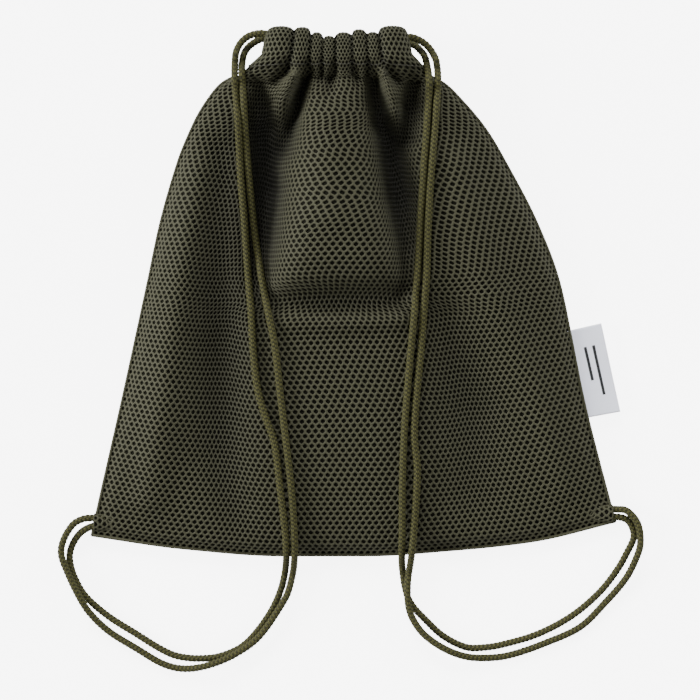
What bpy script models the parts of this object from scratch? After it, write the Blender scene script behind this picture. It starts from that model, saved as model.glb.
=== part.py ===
"""Drawstring backpack in perforated mesh fabric, lying flat on its back panel.

+X is the wearer's side to side direction, +Y runs from the bottom seam to the gathered mouth,
+Z goes up from the back panel to the front panel. The origin is on the flat underside of the
back panel. Two cords run round the casing in opposite directions; each comes out at its own side
as a pair of strands, which lie over the front panel, pass the bottom edge and return to the
bottom corner of that side.
"""
import math

import bmesh
import bpy
from mathutils import Vector

for stale in list(bpy.data.objects):
    bpy.data.objects.remove(stale, do_unlink=True)

# ---------------------------------------------------------------- driving dimensions, metres
BOTTOM_WIDTH = 0.359          # corner to corner along the bottom seam
BODY_LENGTH = 0.3085          # corner line to the underside of the casing
BOTTOM_BOW = 0.0220           # how far the bottom edge bows out past the corner line
CORNER_Y = -0.1187            # where the corner line lies
BOTTOM_CENTRE_X = 0.0027      # middle of the bottom edge
NECK_CENTRE_X = -0.0095       # middle of the gathered neck
NECK_WIDTH = 0.102            # outside width of the gathered neck
NECK_DEPTH = 0.042            # outside depth of the gathered neck
BODY_DEPTH = 0.040            # greatest height of the front panel over the surface it lies on
LOWER_DEPTH = 0.027           # height of the front panel near the bottom
SEAM_HEIGHT = 0.006           # height of the side seams over the surface it lies on
FABRIC = 0.0016               # thickness of the mesh fabric
CASING_HEIGHT = 0.0285        # height of the casing, base stitching to top fold
CORD_DIAMETER = 0.0050
CHANNEL_CLEARANCE = 0.0007    # on each side of a cord in the casing's channel
CORDS_IN_CHANNEL = 2          # side by side
CORD_CLEARANCE = 0.0005       # between a cord and what it lies on or beside
SEAM_WIDTH = 0.0070           # overlocked seam allowance inside the bag
SEAM_THICKNESS = 0.0018
SEAM_INSET = 0.0060           # from the outside edge of the bag to the allowance
SEAM_GAP = 0.0004             # between pieces which are sewn against each other
SEAM_FROM = 0.20              # the side allowances run between these fractions of the length
SEAM_TO = 0.90
BOTTOM_SEAM_REACH = 0.80      # and the bottom one over this fraction of the width
EDGE_TURN = 0.014             # reach of the back panel's turn up to the seams
NECK_TURN = 0.016             # added to it at the neck
NECK_LIFT = 0.001             # underside of the neck over the surface the bag lies on
SOCKET_MIDDLE = 0.0068        # from the corner line up to between the two sockets
CORNER_DEPTH = 0.0088         # thickness of the folded corner
SOCKET_DEPTH = 0.0080         # how far a cord end reaches into the folded corner
SOCKET_CLEARANCE = 0.0005
SOCKET_WALL = 0.0008          # left between the two sockets
SOCKET_LEAD = 0.0040          # straight length of cord outside a socket
SOCKET_END_GAP = 0.0006       # behind the cord's end
CORNER_BEVEL = 0.0016
ROUTE_WIDTH = 0.359           # the bottom width, body length and neck width of the bag that
ROUTE_LENGTH = 0.3085         # the strands' routes below are laid out on; they stretch with
ROUTE_NECK = 0.102            # the bag
ROUTE_CORD = 0.0045           # cord diameter at which a pair of strands would need no spreading
LABEL_LENGTH = 0.0620
LABEL_WIDTH = 0.0220
LABEL_THICKNESS = 0.0009
LABEL_STANDOFF = 0.0010       # from the side edge to the folded label
LABEL_Y = -0.0165             # middle of the label along the side seam
THREAD = 0.0008               # thread of the casing stitching
THREAD_GAP = 0.00015          # between the thread and the casing's wall
STITCH_RISE = 0.0060          # stitching line over the casing's lower edge
FOLD_DROP = 0.0030            # rounding of the casing's top fold, along the bag
FOLD_INSET = 0.0020           # and across the wall
CHANNEL_DROP = 0.0020         # rounding of the channel inside it
CHANNEL_INSET = 0.0014
STRAP_CUT = 0.0040            # gap between a swinging strand and the fixed length it continues

# half widths of the body as fractions of the bottom's, against fractions of the body's length
SIDE_PROFILE = [(0.0, 1.0), (0.22, 0.905), (0.41, 0.836), (0.545, 0.785), (0.675, 0.716),
                (0.81, 0.621), (0.875, 0.560), (0.94, 0.477), (0.978, 0.405), (1.0, 0.284)]

CELLS_ACROSS = 26
CELLS_ALONG = 18
CORNER_CELLS = 3
SEAM_STEPS = 18
SOCKET_SIDES = 20
ROUTE_SAMPLES = 12            # places between two points of a strand's route
RUN_SAMPLES = 8               # and of the run round the casing

NECK_Y = CORNER_Y + BODY_LENGTH
NECK_MIDDLE_Z = NECK_LIFT + NECK_DEPTH / 2
CORD_RADIUS = CORD_DIAMETER / 2
CORD_PITCH = CORD_DIAMETER + 2 * CHANNEL_CLEARANCE
CASING_CHANNEL = CORD_PITCH
CHANNEL_HEIGHT = CORDS_IN_CHANNEL * CORD_PITCH
HALF_BOTTOM = BOTTOM_WIDTH / 2
STRAND_SPACING = 2.4 * CORD_DIAMETER      # between the points of a long, gently curved tube
BEND_SPACING = 0.85 * CORD_DIAMETER       # and of one in a tight bend


def linear(channel):
    """One sRGB channel, 0 to 1, as linear light."""
    if channel <= 0.04045:
        return channel / 12.92
    return ((channel + 0.055) / 1.055) ** 2.4


def material(name, red, green, blue, roughness):
    mat = bpy.data.materials.new(name)
    mat.use_nodes = True
    shader = mat.node_tree.nodes["Principled BSDF"]
    colour = [linear(c / 255) for c in (red, green, blue)]
    shader.inputs["Base Color"].default_value = (*colour, 1.0)
    shader.inputs["Roughness"].default_value = roughness
    shader.inputs["Metallic"].default_value = 0.0
    mat.diffuse_color = (*colour, 1.0)
    return mat


def add_mesh(name, points, faces, mat, smooth):
    mesh = bpy.data.meshes.new(name)
    mesh.from_pydata([tuple(p) for p in points], [], faces)
    mesh.validate()
    solid = bmesh.new()
    solid.from_mesh(mesh)
    if solid.calc_volume(signed=True) < 0:
        bmesh.ops.reverse_faces(solid, faces=solid.faces)
        solid.to_mesh(mesh)
    solid.free()
    mesh.materials.append(mat)
    for face in mesh.polygons:
        face.use_smooth = smooth
    node = bpy.data.objects.new(name, mesh)
    bpy.context.scene.collection.objects.link(node)
    return node


# ---------------------------------------------------------------- the shape of the body
def between(low, high, value):
    """0 below low, 1 above high, and a smooth step from one to the other."""
    t = min(max((value - low) / (high - low), 0.0), 1.0)
    return t * t * (3 - 2 * t)


def half_width(v):
    """Half the width of the bag at a fraction v of its length, along a smooth monotone curve."""
    knots = SIDE_PROFILE
    slopes = []
    for (a, b), (c, d) in zip(knots, knots[1:]):
        slopes.append((d - b) / (c - a))
    ends = [slopes[0]]
    for left, right in zip(slopes, slopes[1:]):
        ends.append(2 * left * right / (left + right))
    ends.append(slopes[-1])
    v = min(max(v, 0.0), 1.0)
    k = 0
    while k < len(slopes) - 1 and v > knots[k + 1][0]:
        k += 1
    span = knots[k + 1][0] - knots[k][0]
    t = (v - knots[k][0]) / span
    value = (knots[k][1] * (1 + 2 * t) * (1 - t) ** 2 + knots[k + 1][1] * t * t * (3 - 2 * t)
             + span * ends[k] * t * (1 - t) ** 2 + span * ends[k + 1] * t * t * (t - 1))
    return value * HALF_BOTTOM


def centre_x(v):
    return BOTTOM_CENTRE_X + (NECK_CENTRE_X - BOTTOM_CENTRE_X) * between(0.35, 1.0, v)


def plan(u, v):
    """Where the fabric point (u across, v along) lies seen from above."""
    y = CORNER_Y + v * BODY_LENGTH - BOTTOM_BOW * (1 - u * u) * (1 - v) ** 2
    return centre_x(v) + u * half_width(v), y


def fabric_point(x, y):
    """The inverse of plan: the fabric coordinates over a place seen from above."""
    v = (y - CORNER_Y) / BODY_LENGTH
    u = 0.0
    for _ in range(30):
        held = min(max(v, 0.0), 1.0)
        u = (x - centre_x(held)) / half_width(held)
        bow = BOTTOM_BOW * max(1 - u * u, 0.0) * (1 - held) ** 2
        v = (y + bow - CORNER_Y) / BODY_LENGTH
    return u, v


def seam_height(v):
    return SEAM_HEIGHT + (NECK_MIDDLE_Z - SEAM_HEIGHT) * between(0.72, 1.0, v)


def front_height(u, v):
    """Outside of the front panel over the surface the bag lies on."""
    top = LOWER_DEPTH + (BODY_DEPTH - LOWER_DEPTH) * between(0.25, 0.75, v)
    top += (NECK_MIDDLE_Z + NECK_DEPTH / 2 - BODY_DEPTH) * between(0.8, 1.0, v)
    start = min(v / 0.34, 1.0)
    along = math.sqrt(max(1 - (1 - start) ** 2, 0.0))
    across = math.sqrt(max(1 - abs(u) ** 2.4, 0.0))
    return seam_height(v) + SEAM_GAP / 2 + (top - seam_height(v)) * along * across


def rear_height(u, v):
    """Outside of the back panel: flat underneath, turned up to the seams at its edges."""
    turn = EDGE_TURN + NECK_TURN * between(0.72, 1.0, v)
    side = half_width(v) * (1 - abs(u))
    bottom = BODY_LENGTH * v
    reach = 1.0
    for distance in (side, bottom):
        left = 1 - min(distance / turn, 1.0)
        reach *= math.sqrt(max(1 - left * left, 0.0))
    low = NECK_LIFT * between(0.9, 1.0, v)
    edge = seam_height(v) - SEAM_GAP / 2
    return edge - (edge - low) * reach


def spaced(count, both_ends):
    """Fractions 0 to 1, closer together at the ends."""
    if both_ends:
        return [(1 - math.cos(math.pi * k / count)) / 2 for k in range(count + 1)]
    return [(k / count) ** 1.6 for k in range(count + 1)]


ACROSS = [2 * f - 1 for f in spaced(CELLS_ACROSS, True)]
ALONG = spaced(CELLS_ALONG, False)


def surface_normal(height, u, v, up):
    step = 0.004
    lows = (max(u - step, -1.0), max(v - step, 0.0))
    highs = (min(u + step, 1.0), min(v + step, 1.0))
    west = Vector((*plan(lows[0], v), height(lows[0], v)))
    east = Vector((*plan(highs[0], v), height(highs[0], v)))
    south = Vector((*plan(u, lows[1]), height(u, lows[1])))
    north = Vector((*plan(u, highs[1]), height(u, highs[1])))
    normal = (east - west).cross(north - south).normalized()
    return normal if up else -normal


def panel(name, height, up, mat):
    """A panel of fabric: outside and inside surfaces joined by a rim, corners cut out."""
    columns = len(ACROSS)
    outside = []
    inside = []
    for v in ALONG:
        for u in ACROSS:
            point = Vector((*plan(u, v), height(u, v)))
            normal = surface_normal(height, u, v, up)
            inner = point - normal * FABRIC
            seam = seam_height(v)
            near_seam = seam + SEAM_GAP / 2 if up else seam - SEAM_GAP / 2
            inner.z = max(inner.z, near_seam) if up else min(inner.z, near_seam)
            if abs(u) == 1.0 or v == 0.0:
                # the rim stands square on the seam plane
                inner = point.copy()
                if abs(u) == 1.0:
                    inner.x -= math.copysign(FABRIC, u)
                if v == 0.0:
                    inner.y += FABRIC
            if v == 1.0:
                inner.y = point.y
            outside.append(point)
            inside.append(inner)
    total = len(outside)
    kept = []
    for row in range(CELLS_ALONG):
        for column in range(CELLS_ACROSS):
            at_corner = column < CORNER_CELLS or column >= CELLS_ACROSS - CORNER_CELLS
            if at_corner and row < CORNER_CELLS:
                continue
            a = row * columns + column
            kept.append((a, a + 1, a + columns + 1, a + columns))
    edges = {}
    for quad in kept:
        for a, b in zip(quad, quad[1:] + quad[:1]):
            edges[(a, b)] = True
    faces = []
    for quad in kept:
        inner_quad = tuple(total + k for k in quad)
        if up:
            faces.append(quad)
            faces.append(inner_quad[::-1])
        else:
            faces.append(quad[::-1])
            faces.append(inner_quad)
    for a, b in edges:
        if (b, a) in edges:
            continue
        rim = (a, a + total, b + total, b)
        faces.append(rim if up else rim[::-1])
    used = sorted({k for face in faces for k in face})
    place = {old: new for new, old in enumerate(used)}
    points = outside + inside
    return add_mesh(name, [points[k] for k in used],
                    [tuple(place[k] for k in face) for face in faces], mat, True)


def bar(name, rings, mat, smooth):
    """A closed solid through rings of the same number of points, capped at both ends."""
    count = len(rings[0])
    points = [p for ring in rings for p in ring]
    faces = []
    for r in range(len(rings) - 1):
        for k in range(count):
            a = r * count + k
            b = r * count + (k + 1) % count
            faces.append((a, b, b + count, a + count))
    faces.append(tuple(reversed(range(count))))
    last = (len(rings) - 1) * count
    faces.append(tuple(range(last, last + count)))
    return add_mesh(name, points, faces, mat, smooth)


MESH_FABRIC = material("olive_mesh_fabric", 74, 73, 56, 0.85)
SEAM_FABRIC = material("olive_seam_tape", 52, 51, 38, 0.85)
CORD_MATERIAL = material("olive_braided_cord", 84, 81, 52, 0.8)
THREAD_MATERIAL = material("olive_thread", 60, 59, 42, 0.7)
LABEL_MATERIAL = material("white_satin_label", 218, 220, 232, 0.5)

panel("front_panel", front_height, True, MESH_FABRIC)
panel("rear_panel", rear_height, False, MESH_FABRIC)


# ---------------------------------------------------------------- seam allowances inside
def side_seam(name, side):
    rings = []
    for k in range(SEAM_STEPS + 1):
        v = SEAM_FROM + (SEAM_TO - SEAM_FROM) * k / SEAM_STEPS
        x = centre_x(v) + side * half_width(v)
        y = plan(side, v)[1]
        z = seam_height(v)
        near = x - side * SEAM_INSET
        far = near - side * SEAM_WIDTH
        half = SEAM_THICKNESS / 2
        ring = [(near, y, z - half), (near, y, z + half), (far, y, z + half), (far, y, z - half)]
        rings.append(ring)
    return bar(name, rings, SEAM_FABRIC, False)


def bottom_seam():
    rings = []
    for k in range(SEAM_STEPS + 1):
        u = BOTTOM_SEAM_REACH * (1 - 2 * k / SEAM_STEPS)
        x, y = plan(u, 0.0)
        near = y + SEAM_INSET
        far = near + SEAM_WIDTH
        half = SEAM_THICKNESS / 2
        z = SEAM_HEIGHT
        rings.append([(x, near, z - half), (x, near, z + half),
                      (x, far, z + half), (x, far, z - half)])
    return bar("bottom_seam", rings, SEAM_FABRIC, False)


side_seam("left_seam", -1)
side_seam("right_seam", 1)
bottom_seam()

# ---------------------------------------------------------------- casing
CASING_THICKNESS = CASING_CHANNEL + 2 * FABRIC
CASING_BASE_Y = NECK_Y + SEAM_GAP
CASING_TOP_Y = CASING_BASE_Y + CASING_HEIGHT
CHANNEL_TOP_Y = CASING_TOP_Y - FABRIC
CHANNEL_BASE_Y = CHANNEL_TOP_Y - CHANNEL_HEIGHT
RING_RADIUS = (NECK_DEPTH - CASING_THICKNESS) / 2
RING_STRAIGHT = (NECK_WIDTH - CASING_THICKNESS) / 2 - RING_RADIUS
SLIT_ANGLE = math.radians(45)         # the casings stop here, leaving a slit at each side
BEND_STEPS = 4


def ring_place(angle, side, level):
    """A place and outward direction on the rounded end of the gathered ring (x and z)."""
    outward = (side * math.cos(angle), level * math.sin(angle))
    x = NECK_CENTRE_X + side * RING_STRAIGHT + RING_RADIUS * outward[0]
    z = NECK_MIDDLE_Z + RING_RADIUS * outward[1]
    return (x, z), outward


def casing_stations(level):
    """Places along a casing, from the left slit to the right one; level is 1 in front."""
    stations = []
    for k in range(BEND_STEPS + 1):
        angle = SLIT_ANGLE + (math.pi / 2 - SLIT_ANGLE) * k / BEND_STEPS
        stations.append(ring_place(angle, -1, level))
    for k in range(BEND_STEPS + 1):
        angle = math.pi / 2 - (math.pi / 2 - SLIT_ANGLE) * k / BEND_STEPS
        stations.append(ring_place(angle, 1, level))
    return stations


def casing(name, level):
    """A sleeve open at both ends: outer wall, top fold, inner wall and sewn base."""
    stations = casing_stations(level)
    half = CASING_THICKNESS / 2
    hollow = CASING_CHANNEL / 2
    shoulder = CASING_TOP_Y - FOLD_DROP
    turned = half - FOLD_INSET
    outer_loop = [(half, CASING_BASE_Y), (half, shoulder), (turned, CASING_TOP_Y),
                  (-turned, CASING_TOP_Y), (-half, shoulder), (-half, CASING_BASE_Y)]
    shoulder = CHANNEL_TOP_Y - CHANNEL_DROP
    turned = hollow - CHANNEL_INSET
    inner_loop = [(hollow, CHANNEL_BASE_Y), (hollow, shoulder), (turned, CHANNEL_TOP_Y),
                  (-turned, CHANNEL_TOP_Y), (-hollow, shoulder), (-hollow, CHANNEL_BASE_Y)]
    count = len(outer_loop)
    points = []
    for (x, z), (ox, oz) in stations:
        for offset, y in outer_loop + inner_loop:
            points.append((x + ox * offset, y, z + oz * offset))
    faces = []
    for s in range(len(stations) - 1):
        here = s * 2 * count
        there = here + 2 * count
        for k in range(count):
            j = (k + 1) % count
            faces.append((here + k, here + j, there + j, there + k))
            faces.append((here + count + j, here + count + k, there + count + k, there + count + j))
    last = (len(stations) - 1) * 2 * count
    for k in range(count):
        j = (k + 1) % count
        faces.append((j, k, count + k, count + j))
        faces.append((last + k, last + j, last + count + j, last + count + k))
    return add_mesh(name, points, faces, MESH_FABRIC, True)


casing("front_casing", 1)
casing("rear_casing", -1)


# ---------------------------------------------------------------- cords
def smooth_route(points, samples):
    """A smooth curve through the given points, as closely spaced places."""
    path = []
    ends = [points[0] * 2 - points[1]] + points + [points[-1] * 2 - points[-2]]
    for a, b, c, d in zip(ends, ends[1:], ends[2:], ends[3:]):
        for k in range(samples):
            t = k / samples
            path.append(0.5 * ((2 * b) + (c - a) * t + (2 * a - 5 * b + 4 * c - d) * t * t
                               + (3 * b - a - 3 * c + d) * t ** 3))
    path.append(points[-1])
    return path


def lengths(path):
    run = [0.0]
    for a, b in zip(path, path[1:]):
        run.append(run[-1] + (b - a).length)
    return run


def stretch(path, start, end, spacing):
    """Evenly spaced places on the path between two distances along it."""
    run = lengths(path)
    count = max(int(round((end - start) / spacing)), 1)
    places = []
    k = 0
    for step in range(count + 1):
        wanted = start + (end - start) * step / count
        while k < len(run) - 2 and run[k + 1] < wanted:
            k += 1
        share = (wanted - run[k]) / max(run[k + 1] - run[k], 1e-9)
        places.append(path[k].lerp(path[k + 1], share))
    return places


def tube(name, places, diameter, mat):
    curve = bpy.data.curves.new(name, "CURVE")
    curve.dimensions = "3D"
    curve.bevel_depth = diameter / 2
    curve.bevel_resolution = 2
    curve.use_fill_caps = True
    spline = curve.splines.new("POLY")
    spline.points.add(len(places) - 1)
    for point, place in zip(spline.points, places):
        point.co = (*place, 1.0)
    spline.use_smooth = True
    curve.materials.append(mat)
    node = bpy.data.objects.new(name, curve)
    bpy.context.scene.collection.objects.link(node)
    return node


def support(x, y):
    """Height of what a cord lies on: the front panel, or the surface under the bag."""
    u, v = fabric_point(x, y)
    if abs(u) >= 1.0 or v <= 0.0 or v >= 1.0:
        return 0.0
    return front_height(u, v)


# Strand routes seen from above, over the front panel, past the bottom edge and round to the corner.
# Each place is (x, y) in millimetres and the lift over what it lies on, in cord diameters.
LEFT_FRONT_ROUTE = [(-79, 181, 0.2), (-76.5, 153, 0), (-74, 117, 0), (-71.5, 86, 0),
                    (-69.5, 56, 0), (-67, 26, 0), (-65.5, 0, 0), (-62.5, -27, 0), (-57, -46, 0),
                    (-51, -64, 0), (-47.5, -92, 0), (-45, -114, 0), (-43.5, -131, 0),
                    (-44, -148, 0), (-48, -166, 0), (-57, -184, 0), (-72, -202, 0), (-88, -210, 0),
                    (-103, -212, 0), (-118, -210.5, 0), (-130, -205.5, 0), (-147, -195, 0),
                    (-166, -183, 0), (-181, -170, 0), (-188.5, -158, 0)]
LEFT_REAR_ROUTE = [(-73.2, 186, 0.2), (-72, 166, 0), (-70.5, 141, 0), (-67, 102, 0),
                   (-63.5, 71, 0), (-57.5, 36, 0), (-51, 4, 0), (-47, -31, 0), (-43.5, -61, 0),
                   (-40, -92, 0), (-38, -122, 0), (-38, -144, 0.4), (-41, -161, 1.12),
                   (-46, -173, 1.12), (-62, -196, 1.12), (-79, -208.5, 1.12), (-97, -216, 1),
                   (-114, -219, 0.1), (-129, -215.5, 0), (-147, -205, 0), (-165.5, -193.5, 0),
                   (-178, -181, 0.7), (-185.5, -169, 1.12), (-193, -153.5, 1.08)]
RIGHT_REAR_ROUTE = [(53.5, 178, 0.2), (52, 153, 0), (50, 126, 0), (48, 94, 0), (46.5, 67, 0),
                    (44.5, 37.5, 0), (41.5, 4, 0), (38.5, -31, 0), (36.5, -61, 0), (35.5, -92, 0),
                    (35.5, -122, 0), (35.5, -145, 0), (38, -164, 0), (42.5, -175, 0),
                    (52, -185.5, 0), (64, -196.5, 0), (79, -204, 0), (91.5, -204.5, 0),
                    (106.5, -202, 0), (129.5, -195, 0), (152, -183, 0), (170.5, -167.5, 0),
                    (183, -152, 0), (191, -138, 0)]
RIGHT_FRONT_ROUTE = [(60, 182.5, 0.2), (58.5, 162, 0), (56, 135, 0), (54, 109, 0), (52.5, 79, 0),
                     (51.5, 48.5, 0), (49.5, 20, 0), (48, 0, 0), (45, -31, 0), (43.5, -58, 0),
                     (45.5, -79, 0), (45, -99, 0), (43.5, -122, 0), (41.5, -144, 0.88),
                     (39.5, -160, 1.12), (40, -175, 1.12), (44, -186, 1.12), (52, -196, 1.12),
                     (65.5, -205, 1.12), (80.5, -210.5, 0.6), (97.5, -211.5, 0), (112.5, -209, 0),
                     (134, -201.5, 0), (158, -190.5, 0), (175.5, -173.5, 0), (189, -157, 0.6),
                     (196.5, -141.5, 1.12)]
# The fixed ends of each strand in millimetres. An exit is counted from the end of the casing:
# (outwards, along the bag from the casing's top, above the middle of the neck). A tail is
# counted from the bottom corner: (outwards, along the bag, above the surface).
LEFT_FRONT_EXIT = [(4.3, -3.7, 7.5), (12.8, -5.2, 6.5), (19.8, -11.2, 6.5), (23.1, -19.7, 7)]
LEFT_REAR_EXIT = [(4.3, -5.7, -6.5), (10.8, -8.7, -3.5), (15.2, -14.2, -1), (17.0, -21.7, 2)]
RIGHT_REAR_EXIT = [(3.8, -11.2, -6.5), (9.8, -13.2, -3.5), (14.0, -17.7, -1), (15.9, -23.7, 3)]
RIGHT_FRONT_EXIT = [(4.3, -9.2, 8), (13.3, -8.7, 7), (19.8, -14.2, 6.5), (22.8, -22.7, 7)]
LEFT_FRONT_TAIL = [(15.7, -27.3, 3.5), (14.7, -13.3, 4.2), (10.7, -2.3, 5.4)]
LEFT_REAR_TAIL = [(21.2, -22.3, 8.4), (21.2, -7.3, 8.4), (17.2, 5.2, 7.2), (11.2, 9.1, 6.4)]
RIGHT_REAR_TAIL = [(11.8, -10.8, 3.8), (10.8, -1.8, 5.0)]
RIGHT_FRONT_TAIL = [(17.6, -11.3, 8.4), (17.2, 1.7, 8.2), (12.3, 8.7, 6.9)]


def on_surface(side, strand, route):
    """Control places that rest on what lies under them: height is the lift, weight 1."""
    resting = CORD_RADIUS + CORD_CLEARANCE
    wide = BOTTOM_WIDTH / ROUTE_WIDTH
    long = BODY_LENGTH / ROUTE_LENGTH
    neck_shift = side * (NECK_WIDTH - ROUTE_NECK) / 2
    spread = side * (CORD_DIAMETER - ROUTE_CORD) / 2
    if strand == "rear":
        spread = -spread
    places = []
    for x_mm, y_mm, lift in route:
        x = x_mm / 1000
        v = (y_mm / 1000 - CORNER_Y) / ROUTE_LENGTH
        near_neck = between(0.82, 1.0, v)
        x += (1 - near_neck) * (wide - 1) * x + near_neck * neck_shift
        x += spread * between(0.0, 0.1, v)
        y = CORNER_Y + (y_mm / 1000 - CORNER_Y) * long
        places.append(Vector((x, y, lift * CORD_DIAMETER + resting, 1.0)))
    return places


def held(places):
    """Control places at a height of their own: weight 0."""
    return [Vector((x, y, z, 0.0)) for x, y, z in places]


def from_casing(side, places):
    end = NECK_CENTRE_X + side * (RING_STRAIGHT + RING_RADIUS)
    return [(end + side * out / 1000, CASING_TOP_Y + along / 1000, NECK_MIDDLE_Z + up / 1000)
            for out, along, up in places]


def from_corner(side, places):
    corner = BOTTOM_CENTRE_X + side * HALF_BOTTOM
    return [(corner + side * out / 1000, CORNER_Y + along / 1000, up / 1000)
            for out, along, up in places]


def neighbours(path, k):
    return range(max(k - ROUTE_SAMPLES, 0), min(k + ROUTE_SAMPLES + 1, len(path)))


def laid(controls):
    """The smooth curve through the controls, resting on the front panel and the surface."""
    path = smooth_route(controls, ROUTE_SAMPLES)
    reach = 1.1 * CORD_RADIUS
    heights = []
    for place in path:
        around = [(0, 0), (reach, 0), (-reach, 0), (0, reach), (0, -reach)]
        heights.append(max(support(place.x + dx, place.y + dy) for dx, dy in around))
    run = lengths(path)
    window = 1.6 * CORD_DIAMETER
    high = []
    for k, place in enumerate(path):
        near = [heights[j] for j in neighbours(path, k)
                if abs(run[j] - run[k]) <= window]
        high.append(max(near))
    result = []
    for k, place in enumerate(path):
        near = [high[j] for j in neighbours(path, k)
                if abs(run[j] - run[k]) <= window]
        weight = min(max(place.w, 0.0), 1.0)
        result.append(Vector((place.x, place.y, place.z + weight * sum(near) / len(near))))
    return result


def socket_line(side, step):
    """Two places on the axis of a socket in the folded corner, from its inner end outwards."""
    corner = Vector((BOTTOM_CENTRE_X + side * HALF_BOTTOM, CORNER_Y, SEAM_HEIGHT))
    apart = (CORD_RADIUS + SOCKET_CLEARANCE + SOCKET_WALL / 2) * step
    middle = corner + Vector((0, SOCKET_MIDDLE + apart, 0))
    inner = middle + Vector((-side * SOCKET_DEPTH, 0, 0))
    outer = middle + Vector((side * SOCKET_LEAD, 0, 0))
    return inner, outer


def ring_run(side, y):
    """The cord's way from its own slit through the front casing, round, and back behind."""
    front = casing_stations(1)
    rear = casing_stations(-1)
    if side > 0:
        front = front[::-1]
        rear = rear[::-1]
    places = [Vector((x, y, z)) for (x, z), _ in front]
    for k in range(1, 6):
        angle = SLIT_ANGLE - 2 * SLIT_ANGLE * k / 6
        (x, z), _ = ring_place(abs(angle), -side, math.copysign(1, angle))
        places.append(Vector((x, y, z)))
    places += [Vector((x, y, z)) for (x, z), _ in rear[::-1]]
    return places


def thinned(places):
    """Drop places that fall together, so the smooth curve does not kink."""
    kept = [places[0]]
    for place in places[1:]:
        if (place - kept[-1]).length > 0.002:
            kept.append(place)
    return kept


def draw_cord(word, side, y, strands):
    """One whole cord, corner to corner, divided where its strands swing."""
    ring = ring_run(side, y)
    heads = []
    for strand, leave, route, tail, step in strands:
        first, second = (ring[0], ring[1]) if strand == "front" else (ring[-1], ring[-2])
        inner, outer = socket_line(side, step)
        controls = held([second, first] + from_casing(side, leave)) + on_surface(side, strand, route)
        controls += held(from_corner(side, tail) + [outer, inner])
        path = laid(controls)
        run = lengths(path)

        def along(number):
            """Distance along the path to a control place, by its number in the list."""
            return run[ROUTE_SAMPLES * number]

        start = along(1)
        top = along(2 + len(leave))
        low = along(1 + len(leave) + len(route))
        free = stretch(path, top + STRAP_CUT, low, STRAND_SPACING)
        tube(f"{word}_strand_{strand}", free, CORD_DIAMETER, CORD_MATERIAL)
        end = stretch(path, low + STRAP_CUT, run[-1], BEND_SPACING)
        tube(f"{word}_tail_{strand}", end, CORD_DIAMETER, CORD_MATERIAL)
        heads.append(stretch(path, start, top, BEND_SPACING))
    whole = thinned(heads[0][::-1] + ring[1:-1] + heads[1])
    path = smooth_route(whole, RUN_SAMPLES)
    places = stretch(path, 0.0, lengths(path)[-1], BEND_SPACING)
    tube(f"{word}_drawcord_run", places, CORD_DIAMETER, CORD_MATERIAL)


UPPER_CORD_Y = CHANNEL_TOP_Y - CORD_PITCH / 2
LOWER_CORD_Y = CHANNEL_BASE_Y + CORD_PITCH / 2
draw_cord("left", -1, UPPER_CORD_Y,
          [("front", LEFT_FRONT_EXIT, LEFT_FRONT_ROUTE, LEFT_FRONT_TAIL, -1),
           ("rear", LEFT_REAR_EXIT, LEFT_REAR_ROUTE, LEFT_REAR_TAIL, 1)])
draw_cord("right", 1, LOWER_CORD_Y,
          [("front", RIGHT_FRONT_EXIT, RIGHT_FRONT_ROUTE, RIGHT_FRONT_TAIL, 1),
           ("rear", RIGHT_REAR_EXIT, RIGHT_REAR_ROUTE, RIGHT_REAR_TAIL, -1)])


# ---------------------------------------------------------------- folded corners
def folded_corner(name, side):
    """The folded corner of both panels, with two sockets for the ends of the cord."""
    column = CORNER_CELLS if side < 0 else CELLS_ACROSS - CORNER_CELLS
    u_in = ACROSS[column]
    v_in = ALONG[CORNER_CELLS]
    x_out, y_low = plan(side, 0.0)
    x_in = plan(u_in, 0.0)[0]
    width = abs(x_out - x_in) - SEAM_GAP
    x_in = x_out - side * width
    y_in = y_low + v_in * BODY_LENGTH - BOTTOM_BOW * (1 - u_in * u_in) - SEAM_GAP
    half = CORNER_DEPTH / 2
    flank = half - CORNER_BEVEL
    low, high = sorted((x_in, x_out))
    rings = []
    for up, inset in ((-half, CORNER_BEVEL), (-flank, 0.0), (flank, 0.0), (half, CORNER_BEVEL)):
        z = SEAM_HEIGHT + up
        rings.append([(low + inset, y_low + inset, z), (high - inset, y_low + inset, z),
                      (high - inset, y_in - inset, z), (low + inset, y_in - inset, z)])
    node = bar(name, rings, SEAM_FABRIC, False)
    for step in (-1, 1):
        inner, outer = socket_line(side, step)
        inner = inner + Vector((-side * SOCKET_END_GAP, 0, 0))
        bore = CORD_RADIUS + SOCKET_CLEARANCE
        rings = []
        for x in (min(inner.x, outer.x), max(inner.x, outer.x)):
            ring = []
            for k in range(SOCKET_SIDES):
                turn = 2 * math.pi * k / SOCKET_SIDES
                ring.append((x, inner.y + bore * math.cos(turn), inner.z + bore * math.sin(turn)))
            rings.append(ring)
        cutter = bar(f"{name}_socket_{step}", rings, SEAM_FABRIC, False)
        cutter.hide_render = True
        cutter.display_type = "WIRE"
        cut = node.modifiers.new("socket", "BOOLEAN")
        cut.operation = "DIFFERENCE"
        cut.solver = "EXACT"
        cut.object = cutter
    return node


folded_corner("left_corner", -1)
folded_corner("right_corner", 1)


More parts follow.
